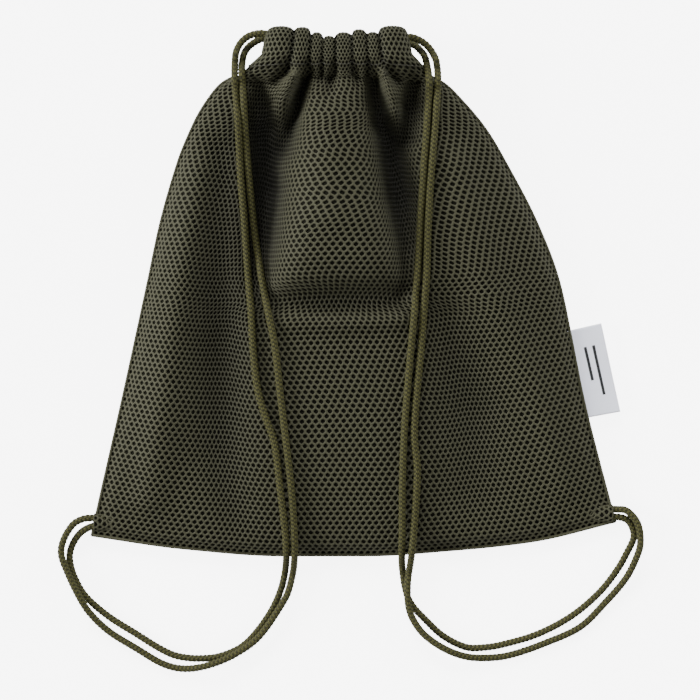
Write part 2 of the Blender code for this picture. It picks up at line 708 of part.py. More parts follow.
# ---------------------------------------------------------------- label and casing stitching
def side_label():
    """A ribbon label folded double, standing out of the right side seam."""
    v = (LABEL_Y - CORNER_Y) / BODY_LENGTH
    step = 0.04
    low = Vector((*plan(1.0, v - step), 0))
    high = Vector((*plan(1.0, v + step), 0))
    along = (high - low).normalized()
    away = Vector((along.y, -along.x, 0))
    middle = Vector((*plan(1.0, v), SEAM_HEIGHT)) + away * LABEL_STANDOFF
    half = LABEL_THICKNESS / 2
    rings = []
    for share in (-0.5, 0.5):
        place = middle + along * LABEL_LENGTH * share
        outer = place + away * (LABEL_WIDTH - half)
        ring = [place + Vector((0, 0, -half)), outer + Vector((0, 0, -half)),
                outer + away * half, outer + Vector((0, 0, half)), place + Vector((0, 0, half))]
        rings.append(ring)
    return bar("side_label", rings, LABEL_MATERIAL, False)


def casing_stitching(name, level):
    """The thread of the casing's seam, lying just off its outer wall."""
    offset = CASING_THICKNESS / 2 + THREAD / 2 + THREAD_GAP
    places = []
    for (x, z), (ox, oz) in casing_stations(level)[1:-1]:
        places.append(Vector((x + ox * offset, CASING_BASE_Y + STITCH_RISE, z + oz * offset)))
    return tube(name, places, THREAD, THREAD_MATERIAL)


side_label()
casing_stitching("front_stitching", 1)
casing_stitching("rear_stitching", -1)
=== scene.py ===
import math

import bpy
import numpy as np
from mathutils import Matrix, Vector


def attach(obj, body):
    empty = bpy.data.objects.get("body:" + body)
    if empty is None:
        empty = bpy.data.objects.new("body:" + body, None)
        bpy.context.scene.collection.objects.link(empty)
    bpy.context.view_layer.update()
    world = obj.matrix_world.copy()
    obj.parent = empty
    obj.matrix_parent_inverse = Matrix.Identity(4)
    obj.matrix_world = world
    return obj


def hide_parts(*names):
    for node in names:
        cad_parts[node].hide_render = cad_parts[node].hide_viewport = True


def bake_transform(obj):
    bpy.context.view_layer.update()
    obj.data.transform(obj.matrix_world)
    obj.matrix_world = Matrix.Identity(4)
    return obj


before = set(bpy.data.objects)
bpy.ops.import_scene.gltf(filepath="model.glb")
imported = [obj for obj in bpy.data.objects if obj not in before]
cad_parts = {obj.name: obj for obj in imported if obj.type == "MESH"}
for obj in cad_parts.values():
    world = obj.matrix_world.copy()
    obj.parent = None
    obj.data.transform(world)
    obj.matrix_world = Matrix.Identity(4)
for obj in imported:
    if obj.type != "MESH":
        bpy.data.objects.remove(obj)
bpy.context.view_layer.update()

MM = 0.001


# ------------------------ small helpers
def linear(channel):
    """One sRGB channel, 0 to 255, as linear light."""
    c = channel / 255
    return c / 12.92 if c <= 0.04045 else ((c + 0.055) / 1.055) ** 2.4


def colour(code):
    """A hex sRGB colour as linear RGBA."""
    return tuple(linear(int(code[k:k + 2], 16)) for k in (0, 2, 4)) + (1.0,)


def smoothstep(low, high, value):
    """0 up to low, 1 from high on, and an even S between them."""
    t = np.clip((value - low) / (high - low), 0.0, 1.0)
    return t * t * (3 - 2 * t)


def hermite(t, first, last, rise, fall):
    """A smooth run from first to last as t goes 0 to 1, with its slopes at the two ends."""
    return (first * (1 + 2 * t) * (1 - t) ** 2 + last * t * t * (3 - 2 * t)
            + rise * t * (1 - t) ** 2 + fall * t * t * (t - 1))


def through(knots, value):
    """A smooth monotone curve through (place, value) knots, for numbers or arrays."""
    xs, ys = (np.array(c, float) for c in zip(*knots))
    span = np.diff(xs)
    slope = np.diff(ys) / span
    both, either = slope[:-1] * slope[1:], slope[:-1] + slope[1:]
    inner = np.where(both > 0, 2 * both / np.where(either == 0, 1, either), 0)
    tangent = np.concatenate(([slope[0]], inner, [slope[-1]]))
    value = np.clip(value, xs[0], xs[-1])
    k = np.clip(np.searchsorted(xs, value) - 1, 0, len(span) - 1)
    t = (value - xs[k]) / span[k]
    return hermite(t, ys[k], ys[k + 1], span[k] * tangent[k], span[k] * tangent[k + 1])


def new_object(name, data):
    """A new object, put in the scene."""
    thing = bpy.data.objects.new(name, data)
    bpy.context.scene.collection.objects.link(thing)
    return thing


def new_mesh(name, points, faces):
    """A smooth-shaded piece from points in metres."""
    mesh = bpy.data.meshes.new(name)
    mesh.from_pydata(np.asarray(points, float).tolist(), [], [tuple(f) for f in faces])
    mesh.polygons.foreach_set("use_smooth", [True] * len(mesh.polygons))
    mesh.update()
    return new_object(name, mesh)


def grid_faces(rows, columns, wrap=False):
    """Four-sided faces between rows of points; wrap closes each row on itself."""
    faces = []
    across = columns if wrap else columns - 1
    for j in range(rows - 1):
        for i in range(across):
            a = j * columns + i
            b = j * columns + (i + 1) % columns
            faces.append((a, b, b + columns, a + columns))
    return faces


def unit(vectors):
    """The directions of some vectors."""
    return vectors / np.linalg.norm(vectors, axis=-1, keepdims=True)


def round_about(turn, sides, ups):
    """Directions round each place of a line, from its side and its up directions."""
    return (np.cos(turn)[None, :, None] * sides[:, None, :]
            + np.sin(turn)[None, :, None] * ups[:, None, :])


def tube(name, rings):
    """A tube over rings of points in millimetres, closed at both ends."""
    count, around = rings.shape[:2]
    faces = grid_faces(count, around, wrap=True)
    faces += [tuple(reversed(range(around))), tuple(range((count - 1) * around, count * around))]
    return new_mesh(name, rings.reshape(-1, 3) * MM, [f[::-1] for f in faces])


# ------------------------ camera, floor and light
VIEW_WIDTH = 0.4774  # metres across the view, at the height of the middle of the bag
CAMERA_HEIGHT = 1.6
VIEW_PLANE = 0.015
SENSOR = 36.0

camera_data = bpy.data.cameras.new("camera")
camera_data.sensor_width = SENSOR
camera_data.lens = SENSOR * (CAMERA_HEIGHT - VIEW_PLANE) / VIEW_WIDTH
camera = new_object("camera", camera_data)
camera.location = (0.0, 0.0, CAMERA_HEIGHT)
bpy.context.scene.camera = camera


def far_softbox(name, toward, softness, strength):
    """A soft light a long way off, so the floor is lit evenly; toward points at the light."""
    data = bpy.data.lights.new(name, "SUN")
    data.angle = math.radians(softness)
    data.energy = strength
    lamp = new_object(name, data)
    lamp.rotation_euler = Vector(toward).to_track_quat("Z", "Y").to_euler()


far_softbox("key_softbox", (-0.25, 1.0, 0.62), 22, 3.9)
far_softbox("left_softbox", (-1.0, 0.05, 0.36), 26, 5.4)
far_softbox("right_softbox", (1.0, 0.40, 0.36), 26, 2.3)
far_softbox("low_softbox", (0.1, -1.0, 0.6), 30, 1.0)

FLOOR = 3.0
corners = [(-FLOOR, -FLOOR, 0), (FLOOR, -FLOOR, 0), (FLOOR, FLOOR, 0), (-FLOOR, FLOOR, 0)]
floor = new_mesh("floor", corners, [(0, 1, 2, 3)])


# ------------------------ materials
def give(tree, value, socket):
    """Fills one input with a value, another node's socket, or (node, output name)."""
    if isinstance(value, tuple) and hasattr(value[0], "outputs"):
        value = value[0].outputs[value[1]]
    if hasattr(value, "is_output"):
        tree.links.new(value, socket)
    else:
        socket.default_value = value


def fill(tree, node, **inputs):
    """Fills inputs of a node by socket name."""
    for name, value in inputs.items():
        give(tree, value, node.inputs[name.replace("_", " ")])
    return node


def add(tree, kind, settings=None, **inputs):
    """Adds one node with its settings and its inputs."""
    node = tree.nodes.new(kind)
    for name, value in (settings or {}).items():
        setattr(node, name, value)
    return fill(tree, node, **inputs)


def new_material(name):
    """A material, its tree and its shader."""
    mat = bpy.data.materials.new(name)
    mat.use_nodes = True
    return mat, mat.node_tree, mat.node_tree.nodes["Principled BSDF"]


def grain(tree, scale, rough):
    """Fine procedural unevenness in the object's own space; scale in metres."""
    place = add(tree, "ShaderNodeTexCoord")
    return add(tree, "ShaderNodeTexNoise", Vector=(place, "Object"), Scale=1 / scale, Detail=3.0,
               Roughness=rough)


def finish_look(tree, shader, ramp, noise, strength, bump, roughness, shine):
    """Gives a shader its colour, its fine relief, its roughness and its shine."""
    height = add(tree, "ShaderNodeBump", Height=(noise, "Fac"), Strength=strength, Distance=bump)
    fill(tree, shader, Base_Color=(ramp, "Color"), Normal=(height, "Normal"), Roughness=roughness,
         Specular_IOR_Level=shine)


def plain_cloth(name, code, roughness, scale, bump, uneven=0.25, shine=0.5):
    """Cloth with a fine procedural unevenness of colour and height; scale in metres."""
    mat, tree, shader = new_material(name)
    noise = grain(tree, scale, 0.6)
    base = np.array(colour(code))
    ramp = add(tree, "ShaderNodeValToRGB", Fac=(noise, "Fac"))
    ramp.color_ramp.elements[0].position = 0.3
    ramp.color_ramp.elements[0].color = (*(base[:3] * (1 - uneven)), 1)
    ramp.color_ramp.elements[1].position = 0.72
    ramp.color_ramp.elements[1].color = (*np.minimum(base[:3] * (1 + uneven), 1), 1)
    finish_look(tree, shader, ramp, noise, 1.0, bump, roughness, shine)
    return mat


FLOOR_GLOW = 6.0
ROOM_LIGHT = 0.28


def for_the_eye(tree, otherwise, seen):
    """One strength where the eye looks straight at something, and another for all other light."""
    rays = add(tree, "ShaderNodeLightPath")
    return add(tree, "ShaderNodeMapRange", Value=(rays, "Is Camera Ray"), To_Min=otherwise,
               To_Max=seen)


def light_table():
    """Seamless white floor, lit from beneath as far as the eye sees and no brighter for the bag."""
    mat, tree, shader = new_material("pale_light_table")
    fill(tree, shader, Base_Color=colour("F4F4F4"), Roughness=0.9, Emission_Color=(1, 1, 1, 1),
         Emission_Strength=(for_the_eye(tree, 0.0, FLOOR_GLOW), "Result"))
    return mat


def studio():
    """A dim white room which looks as bright as the floor where the eye meets it."""
    world = bpy.data.worlds.new("studio")
    world.use_nodes = True
    tree = world.node_tree
    fill(tree, tree.nodes["Background"], Color=(1, 1, 1, 1),
         Strength=(for_the_eye(tree, ROOM_LIGHT, FLOOR_GLOW + ROOM_LIGHT), "Result"))
    bpy.context.scene.world = world


studio()
floor.data.materials.append(light_table())


def shaded_by(name, attribute, first, last, roughness, scale):
    """Yarn whose colour runs from the first to the last as an attribute of the mesh goes 0 to 1;
    the attribute paints shade into the colour.
    """
    mat, tree, shader = new_material(name)
    noise = grain(tree, scale, 0.65)
    level = add(tree, "ShaderNodeAttribute", {"attribute_name": attribute})
    spread = add(tree, "ShaderNodeMapRange", Value=(noise, "Fac"), From_Min=0.25, From_Max=0.75,
                 To_Min=-0.22, To_Max=0.22)
    total = add(tree, "ShaderNodeMath", {"operation": "ADD", "use_clamp": True})
    give(tree, (level, "Fac"), total.inputs[0])
    give(tree, (spread, "Result"), total.inputs[1])
    ramp = add(tree, "ShaderNodeValToRGB", Fac=(total, "Value"))
    ramp.color_ramp.elements[0].color = colour(first)
    ramp.color_ramp.elements[1].color = colour(last)
    finish_look(tree, shader, ramp, noise, 0.6, 0.12 * MM, roughness, 0.22)
    return mat


# knitted polyester spacer mesh, dyed olive: a matt grey-green yarn, with painted shade that takes
# it nearly to black down in its holes and in the creases of the cloth
YARN = shaded_by("olive_mesh_yarn", "drawn", "3C3C2B", "12120C", 0.66, 1.1 * MM)
# the back layer of the same mesh: dull, and its colour painted darker than the yarn's as painted
# shade, since little light gets through the holes to it
HOLLOW = plain_cloth("olive_mesh_inner_face_painted_shade", "1A1A14", 0.95, 2.0 * MM, 0.0, shine=0.05)
# overlocked seam: the same yarn pressed flat, a little lighter and fuzzier
SEAM = plain_cloth("olive_sewn_seam", "35342A", 0.85, 1.2 * MM, 0.1 * MM)
# spun polyester thread: darker than the cloth, with a faint twist
THREAD = plain_cloth("olive_sewing_thread", "2B2A1E", 0.7, 0.6 * MM, 0.03 * MM)
# braided polyester cord: warmer and greener than the cloth, with painted shade that darkens it in
# the grooves of the braid
CORD = shaded_by("olive_braided_cord", "relief", "121203", "53522B", 0.75, 0.6 * MM)
# woven satin ribbon: a cool white, nearly even, with a soft shine
SATIN = plain_cloth("white_satin_label", "EEF1FF", 0.45, 0.6 * MM, 0.01 * MM, 0.03)
# printing ink on the ribbon: flat black
INK = plain_cloth("black_label_ink", "17181B", 0.6, 0.8 * MM, 0.0)

# ------------------------ the cloth of the front panel
NECK_Y = 190.0
MIDDLE_Z = 22.0  # height of the side seams at the neck, millimetres
SEAM_Z = 6.0
# side edges seen from above, (distance along the bag, across), in millimetres
LEFT_EDGE = [
    (-127.5, -177.3), (-105.7, -172.5), (-34, -156.2), (47.7, -138.4), (88.7, -129.6),
    (129.6, -117.3), (150, -108.4), (160.3, -103), (170.5, -96.2), (180.7, -87.3), (186.5, -76),
    (190, -62)]
RIGHT_EDGE = [
    (-118, 182), (-105.7, 178.7), (-75, 170.5), (-34, 160.3), (6.8, 152.1), (47.7, 143.2),
    (88.7, 127.5), (129.6, 105.7), (150, 92.8), (170.5, 75), (180.7, 64.1), (186.5, 53), (190, 43)]
LEFT_CORNER_Y = LEFT_EDGE[0][0]
RIGHT_CORNER_Y = RIGHT_EDGE[0][0]
# bottom edge, (across from -1 to 1, distance along the bag)
BOTTOM_EDGE = [
    (-1, -127.5), (-0.65, -136.4), (-0.27, -141.2), (0.05, -141.2), (0.37, -137.6), (0.68, -131.6),
    (1, -118)]


def plan(u, v):
    """Where the cloth (u across -1 to 1, v along 0 to 1) lies seen from above, millimetres."""
    corner = LEFT_CORNER_Y + (u + 1) / 2 * (RIGHT_CORNER_Y - LEFT_CORNER_Y)
    left_y = LEFT_CORNER_Y + v * (NECK_Y - LEFT_CORNER_Y)
    right_y = RIGHT_CORNER_Y + v * (NECK_Y - RIGHT_CORNER_Y)
    left = through(LEFT_EDGE, left_y)
    right = through(RIGHT_EDGE, right_y)
    x = left + (u + 1) / 2 * (right - left)
    y = corner * (1 - v) + NECK_Y * v + (through(BOTTOM_EDGE, u) - corner) * (1 - v) ** 2
    return x, y


def unplan(x, y):
    """The inverse of plan."""
    u = np.zeros_like(x)
    v = (y - LEFT_CORNER_Y) / (NECK_Y - LEFT_CORNER_Y)
    for _ in range(25):
        v = np.clip(v, 0, 1)
        left_y = LEFT_CORNER_Y + v * (NECK_Y - LEFT_CORNER_Y)
        right_y = RIGHT_CORNER_Y + v * (NECK_Y - RIGHT_CORNER_Y)
        left = through(LEFT_EDGE, left_y)
        right = through(RIGHT_EDGE, right_y)
        u = np.clip(2 * (x - left) / (right - left) - 1, -1, 1)
        now = plan(u, v)[1]
        v = v + (y - now) / (NECK_Y - LEFT_CORNER_Y)
    return u, v


def stroke(x, y, route, power=2):
    """A ridge or a crease along a route of (x, y, height, half width) places."""
    best = np.full(x.shape, 1e9)
    result = np.zeros(x.shape)
    for (ax, ay, ah, aw), (bx, by, bh, bw) in zip(route, route[1:]):
        dx, dy = bx - ax, by - ay
        t = np.clip(((x - ax) * dx + (y - ay) * dy) / (dx * dx + dy * dy), 0, 1)
        away = np.hypot(x - ax - t * dx, y - ay - t * dy)
        width = aw + t * (bw - aw)
        value = (ah + t * (bh - ah)) * np.exp(-(away / width) ** power)
        share = away / width
        result = np.where(share < best, value, result)
        best = np.minimum(best, share)
    return result


FRONT_CREASES = [
    # the deep hollow left of the middle fold, then the narrow crease which splits off it
    [(-62, 178, -7, 6), (-60, 165, -15, 9), (-59, 150, -20, 12), (-57, 109, -22, 13),
     (-59, 75, -17, 12), (-61, 44, -9, 10), (-57, 22, -2, 8)],
    [(-27, 192, -12, 3.5), (-33, 176, -14, 4), (-38, 157, -13, 5), (-44, 136, -8, 8)],
    # the hollow right of it, with its own patch under the right puff
    [(15, 192, -11, 4), (17, 174, -15, 5), (22, 152, -18, 7.5), (29, 130, -21, 10),
     (34, 102, -20, 11), (38, 72, -13, 9), (38, 44, -5, 7)],
    [(43, 183, -8, 5), (41, 166, -15, 7), (39, 145, -12, 8)],
    # short gathers under the casing
    [(-10, 192, -9, 2.5), (-13, 182, -6, 4), (-14, 170, -1, 5)],
    [(3.6, 192, -8, 2.5), (5, 178, -2, 3)],
    [(-18.5, 192, -7, 2), (-20, 180, -2, 3)],
    [(-40, 192, -8, 3), (-50, 182, -4, 4)],
    [(27.5, 192, -8, 3), (31, 180, -4, 4)],
    # the crease under the end of the middle fold
    [(-47, 34, -3.5, 8), (-10, 34, -5.5, 9), (34, 36, -5.0, 9), (45, 40, -2, 8)],
    # the sunken bands of the left and right sides
    [(-84, 135, -6, 13), (-86, 70, -8, 17), (-88, 0, -9, 20), (-86, -70, -7, 19),
     (-76, -118, -3, 14)],
    [(64, 20, -4, 18), (82, -40, -7, 23), (84, -92, -4, 22)],
]
FRONT_RIDGES = [
    [(-33, 196, 7, 4.5), (-37, 184, 9, 5), (-45, 170, 8, 6), (-52, 158, 2, 6)],
    [(20, 196, 6, 4), (25, 180, 9, 5), (31, 160, 8, 6), (35, 148, 2, 6)],
    [(-44, 19, 2, 6), (-10, 18, 3.5, 7), (36, 20, 3.0, 6)],
    [(-106, 120, 4, 12), (-113, 80, 6, 14), (-122, 20, 9, 17), (-130, -45, 9, 18),
     (-136, -98, 5, 14)],
    [(72, 125, 5, 13), (93, 45, 5, 15), (114, 0, 4, 14), (132, -40, 4, 13), (146, -92, 2, 12)],
    [(-14, 155, 2.0, 9), (-12, 90, 2.5, 12)]]


def middle_fold(x, y):
    """The broad fold which runs down from the neck and ends in a step across the bag."""
    middle = through([(40, -7), (110, -8.5), (175, -10), (195, -8)], y)
    half = through([(30, 47), (80, 38), (120, 28), (175, 19), (195, 18)], y)
    rise = through([(26, 0), (36, 3.5), (50, 12.5), (66, 16.5), (82, 16.5), (105, 14), (150, 9),
                    (178, 3), (190, 1)], y)
    return rise * np.exp(-np.abs((x - middle) / half) ** 4)


def seam_z(v):
    """Height of the side seams, which climb to the middle of the casing at the neck."""
    return SEAM_Z + (MIDDLE_Z - SEAM_Z) * smoothstep(0.72, 1.0, v)


LOW_TOP = 26.0  # the front panel over the floor near the bottom, without its folds
TOP_CLIMB = 9.0  # and how much more towards the neck
BOTTOM_ROUND = 0.34  # share of its length over which it comes up from the bottom seam
FLOOR_GAP = 3.0  # no hollow comes nearer to the seam's own height


def front_height(u, v, x, y):
    """The outside of the front panel over the floor, millimetres."""
    top = LOW_TOP + TOP_CLIMB * smoothstep(0.25, 0.75, v)
    start = np.clip(v / BOTTOM_ROUND, 0, 1)
    along = np.sqrt(np.clip(1 - (1 - start) ** 2, 0, 1))
    across = np.sqrt(np.clip(1 - np.abs(u) ** 2.4, 0, 1))
    seam = seam_z(v)
    z = (top - seam) * along * across
    shape = middle_fold(x, y)
    for route in FRONT_RIDGES:
        shape = shape + stroke(x, y, route)
    for route in FRONT_CREASES:
        shape = shape + stroke(x, y, route)
    edge = np.clip(across * 1.6, 0, 1) * smoothstep(0.0, 0.09, v)
    z = z + shape * edge
    soft = np.where(z < FLOOR_GAP, FLOOR_GAP * np.exp((z - FLOOR_GAP) / FLOOR_GAP), z)
    return seam + soft * np.clip(across * 3, 0, 1) * np.clip(v / 0.02, 0, 1)


def crease_depth(x, y):
    """How deep the creases are at a place, all together."""
    total = np.zeros_like(x)
    for route in FRONT_CREASES:
        total = total + np.abs(stroke(x, y, route))
    return total


# ------------------------ cloth grids
def even_lengths(points, weights, count):
    """Rows of points (rows, samples, 3) resampled evenly by weighted length."""
    rows = []
    for row, weight in zip(points, weights):
        step = np.linalg.norm(np.diff(row, axis=0), axis=1) * (weight[1:] + weight[:-1]) / 2
        run = np.concatenate(([0], np.cumsum(step)))
        wanted = np.linspace(0, run[-1], count)
        rows.append(np.stack([np.interp(wanted, run, row[:, k]) for k in range(3)], axis=1))
    return np.array(rows)


FINE = 420  # samples across a panel before it is resampled by length
KEPT_TOGETHER = 0.7  # how far neighbouring threads keep to one row
FINE_AT_SEAM = 1.15  # above 1 the samples lie closer together towards the bottom seam


def cloth_grid(shape, weight, across, along):
    """A grid of points whose columns and rows follow the cloth's own threads."""
    u = np.sin(np.linspace(-np.pi / 2, np.pi / 2, FINE))
    v = np.linspace(0, 1, along * 2) ** FINE_AT_SEAM
    uu, vv = np.meshgrid(u, v)
    x, y = plan(uu, vv)
    z = shape(uu, vv, x, y)
    points = np.stack([x, y, z], axis=2)
    grid = even_lengths(points, 1 + weight(x, y), across)
    # along the bag neighbouring threads keep together, so the rows stay nearly straight
    step = np.linalg.norm(np.diff(grid, axis=0), axis=2)
    run = np.vstack((np.zeros((1, across)), np.cumsum(step, axis=0)))
    run /= run[-1]
    run = (1 - KEPT_TOGETHER) * run + KEPT_TOGETHER * run.mean(axis=1, keepdims=True)
    wanted = np.linspace(0, 1, along)
    columns = [[np.interp(wanted, run[:, c], grid[:, c, k]) for k in range(3)]
               for c in range(across)]
    return np.array(columns).transpose(2, 0, 1)


def grid_object(name, grid, outward, sink=0.0, drawn=None):
    """A mesh over a grid in millimetres, its UV the cloth's own threads, sunk inwards."""
    rows, columns = grid.shape[:2]
    across = np.gradient(grid, axis=1)
    along = np.gradient(grid, axis=0)
    normal = np.cross(across, along)
    normal /= np.maximum(np.linalg.norm(normal, axis=2, keepdims=True), 1e-9)
    if not outward:
        normal = -normal
    points = (grid - normal * sink).reshape(-1, 3) * MM
    faces = grid_faces(rows, columns)
    if not outward:
        faces = [f[::-1] for f in faces]
    piece = new_mesh(name, points, faces)
    layer = piece.data.uv_layers.new(name="cloth")
    where = np.array([(i / (columns - 1), j / (rows - 1))
                      for j in range(rows) for i in range(columns)])
    # painted shade, which darkens the yarn where it is high
    shade_layer = piece.data.attributes.new("drawn", "FLOAT", "POINT")
    if drawn is not None:
        shade_layer.data.foreach_set("value", np.ascontiguousarray(drawn, np.float32).ravel())
    loops = np.zeros(len(piece.data.loops), int)
    piece.data.loops.foreach_get("vertex_index", loops)
    layer.data.foreach_set("uv", where[loops].ravel())
    return piece


# ------------------------ the open lattice of the mesh fabric
PITCH = 4.35  # holes along a row, millimetres
ROW = 3.07  # from row to row, alternate rows half a pitch over
HOLE_ACROSS = 1.50
HOLE_ALONG = 1.56  # half sizes of a hole
LATTICE_DEPTH = 1.1
INNER_GAP = 0.05  # between the foot of the lattice and the inner face
HOLE_TAPER = 0.94  # size of a hole at its foot, as a share of its rim
RIM_DROP = 0.3  # the yarn is rounded off this far to the rim of a hole


def lattice_cell():
    """One cell: the six-sided piece of yarn round a hole, with the wall of the hole."""
    top = (PITCH * PITCH / 4 + ROW * ROW) / (2 * ROW) / ROW
    side = (ROW - top * ROW) / ROW
    outline = [(0.5, -side), (0.5, side), (0.0, top), (-0.5, side), (-0.5, -side), (0.0, -top)]
    rim = []
    for x, y in outline:
        turn = math.atan2(y * ROW, x * PITCH)
        rim.append((HOLE_ACROSS * math.cos(turn) / PITCH, HOLE_ALONG * math.sin(turn) / ROW))
    points = [(x, y, 0.0) for x, y in outline]
    points += [(x, y, -RIM_DROP * MM) for x, y in rim]
    points += [(x * HOLE_TAPER, y * HOLE_TAPER, -LATTICE_DEPTH * MM) for x, y in rim]
    faces = []
    for ring in (0, 6):
        for k in range(6):
            j = (k + 1) % 6
            faces.append((ring + k, ring + j, ring + 6 + j, ring + 6 + k))
    return new_mesh("lattice_cell", points, faces)


def geometry_tree(name, sizes):
    """A new node tree with its named inputs, and its group input node."""
    tree = bpy.data.node_groups.new(name, "GeometryNodeTree")
    for socket, kind in sizes:
        tree.interface.new_socket(name=socket, in_out="INPUT", socket_type="NodeSocket" + kind)
    tree.interface.new_socket(name="Geometry", in_out="OUTPUT", socket_type="NodeSocketGeometry")
    return tree, tree.nodes.new("NodeGroupInput")


ROW_START = 0.78  # the first row's middle from the edge of the cloth, in rows
ROW_END = 0.56  # rows' worth of cloth beyond a whole number of them
HOLE_WALL_SHADE = 0.65  # painted shade: how much darker the foot of a hole's wall is painted than its rim
WELD = 0.00008  # cells' corners closer than this, in shares of the cloth, are one


def lattice_tree():
    """Cells on a staggered grid of threads, bent on to a cloth through its UV map."""
    tree, given = geometry_tree("mesh_fabric", (
        ("Cloth", "Object"), ("Cell", "Object"), ("Columns", "Int"), ("Rows", "Int"),
        ("First Row", "Int"), ("All Rows", "Int"), ("Yarn", "Material")))

    def maths(operation, first, second=0.0):
        node = add(tree, "ShaderNodeMath", {"operation": operation})
        give(tree, first, node.inputs[0])
        give(tree, second, node.inputs[1])
        return node.outputs[0]

    cloth = add(tree, "GeometryNodeObjectInfo", Object=(given, "Cloth"))
    cell = add(tree, "GeometryNodeObjectInfo", Object=(given, "Cell"))
    # the middle of each cell on the cloth laid flat, 0 to 1 across and along
    grid = add(tree, "GeometryNodeMeshGrid", Vertices_X=(given, "Columns"),
               Vertices_Y=(given, "Rows"))
    index = add(tree, "GeometryNodeInputIndex").outputs["Index"]
    rows = given.outputs["Rows"]
    column = maths("FLOOR", maths("DIVIDE", maths("ADD", index, 0.5), rows))
    own_row = maths("SUBTRACT", index, maths("MULTIPLY", column, rows))
    row = maths("ADD", own_row, given.outputs["First Row"])
    shift = maths("MULTIPLY", maths("MODULO", row, 2.0), 0.5)
    across = maths("ADD", given.outputs["Columns"], 0.5)
    along = maths("ADD", given.outputs["All Rows"], ROW_END)
    middle = add(tree, "ShaderNodeCombineXYZ",
                 X=maths("DIVIDE", maths("ADD", maths("ADD", column, 0.5), shift), across),
                 Y=maths("DIVIDE", maths("ADD", row, ROW_START), along))
    placed = add(tree, "GeometryNodeSetPosition", Geometry=(grid, "Mesh"),
                 Position=(middle, "Vector"))
    size = add(tree, "ShaderNodeCombineXYZ", X=maths("DIVIDE", 1.0, across),
               Y=maths("DIVIDE", 1.0, along), Z=1.0)
    cells = add(tree, "GeometryNodeInstanceOnPoints", Points=(placed, "Geometry"),
                Instance=(cell, "Geometry"), Scale=(size, "Vector"))
    real = add(tree, "GeometryNodeRealizeInstances", Geometry=(cells, "Instances"))
    flat = add(tree, "GeometryNodeMergeByDistance", Geometry=(real, "Geometry"), Distance=WELD)

    # each point goes to its place on the real cloth, then in or out along the cloth's normal
    place = add(tree, "GeometryNodeInputPosition")
    normal = add(tree, "GeometryNodeInputNormal")
    parts = add(tree, "ShaderNodeSeparateXYZ", Vector=(place, "Position"))
    where = add(tree, "ShaderNodeCombineXYZ", X=parts.outputs[0], Y=parts.outputs[1])
    threads = add(tree, "GeometryNodeInputNamedAttribute", {"data_type": "FLOAT_VECTOR"},
                  Name="cloth")
    drawn = add(tree, "GeometryNodeInputNamedAttribute", {"data_type": "FLOAT"}, Name="drawn")

    def on_cloth(kind, value):
        sample = add(tree, "GeometryNodeSampleUVSurface", {"data_type": kind}, Value=value,
                     Mesh=(cloth, "Geometry"), Source_UV_Map=(threads, "Attribute"),
                     Sample_UV=(where, "Vector"))
        return sample.outputs["Value"]

    # painted shade: the cloth's crease shade, made darker still down the wall of each hole
    depth = maths("MULTIPLY", parts.outputs[2], -HOLE_WALL_SHADE / (LATTICE_DEPTH * MM))
    shade = maths("ADD", on_cloth("FLOAT", (drawn, "Attribute")), depth)
    kept = add(tree, "GeometryNodeStoreNamedAttribute", {"data_type": "FLOAT", "domain": "POINT"},
               Geometry=(flat, "Geometry"), Name="drawn", Value=shade)
    lift = add(tree, "ShaderNodeVectorMath", {"operation": "SCALE"}, Scale=parts.outputs[2])
    give(tree, on_cloth("FLOAT_VECTOR", (normal, "Normal")), lift.inputs[0])
    there = add(tree, "ShaderNodeVectorMath")
    give(tree, on_cloth("FLOAT_VECTOR", (place, "Position")), there.inputs[0])
    give(tree, lift.outputs[0], there.inputs[1])
    bent = add(tree, "GeometryNodeSetPosition", Geometry=(kept, "Geometry"),
               Position=(there, "Vector"))
    soft = add(tree, "GeometryNodeSetShadeSmooth", Geometry=(bent, "Geometry"))
    yarn = add(tree, "GeometryNodeSetMaterial", Geometry=(soft, "Geometry"),
               Material=(given, "Yarn"))
    add(tree, "NodeGroupOutput", Geometry=(yarn, "Geometry"))
    return tree


def grown(name, tree, values):
    """The result of a geometry tree as a plain mesh of its own."""
    holder = new_mesh(name + "_holder", [(0, 0, 0)], [])
    modifier = holder.modifiers.new("grown", "NODES")
    modifier.node_group = tree
    for item in tree.interface.items_tree:
        if item.in_out == "INPUT":
            modifier[item.identifier] = values[item.name]
    bpy.context.view_layer.update()
    ready = holder.evaluated_get(bpy.context.evaluated_depsgraph_get())
    mesh = bpy.data.meshes.new_from_object(ready)
    mesh.name = name
    bpy.data.objects.remove(holder, do_unlink=True)
    return new_object(name, mesh)


CELL = lattice_cell()
LATTICE = lattice_tree()


def perforated(name, cloth, columns, rows, first_row, all_rows):
    """The lattice over a cloth as a plain mesh of its own."""
    return grown(name, LATTICE, {"Cloth": cloth, "Cell": CELL, "Columns": columns, "Rows": rows,
                                 "First Row": first_row, "All Rows": all_rows, "Yarn": YARN})


CELLS_IN_ONE = 8200  # a lattice with more cells than this is made in two pieces


def fabric(name, grid, outward, columns, rows, node, drawn=None):
    """A panel in two layers: its inner face, painted dark as shade, and the open lattice in one or
    two pieces.
    """
    cloth = grid_object(name + "_threads", grid, outward, drawn=drawn)
    inner = grid_object(name + "_inner_face", grid, outward, LATTICE_DEPTH + INNER_GAP)
    inner.data.materials.append(HOLLOW)
    splits = [0, rows] if columns * rows < CELLS_IN_ONE else [0, rows // 4 * 2, rows]
    pieces = []
    for k, (first, last) in enumerate(zip(splits, splits[1:])):
        word = "" if len(splits) == 2 else ("_lower", "_upper")[k]
        piece = perforated(f"{name}{word}_mesh", cloth, columns, last - first, first, rows)
        pieces.append(piece)
    bpy.data.objects.remove(cloth, do_unlink=True)
    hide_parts(node)
    for piece in pieces + [inner]:
        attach(piece, "bag")
    return inner, pieces


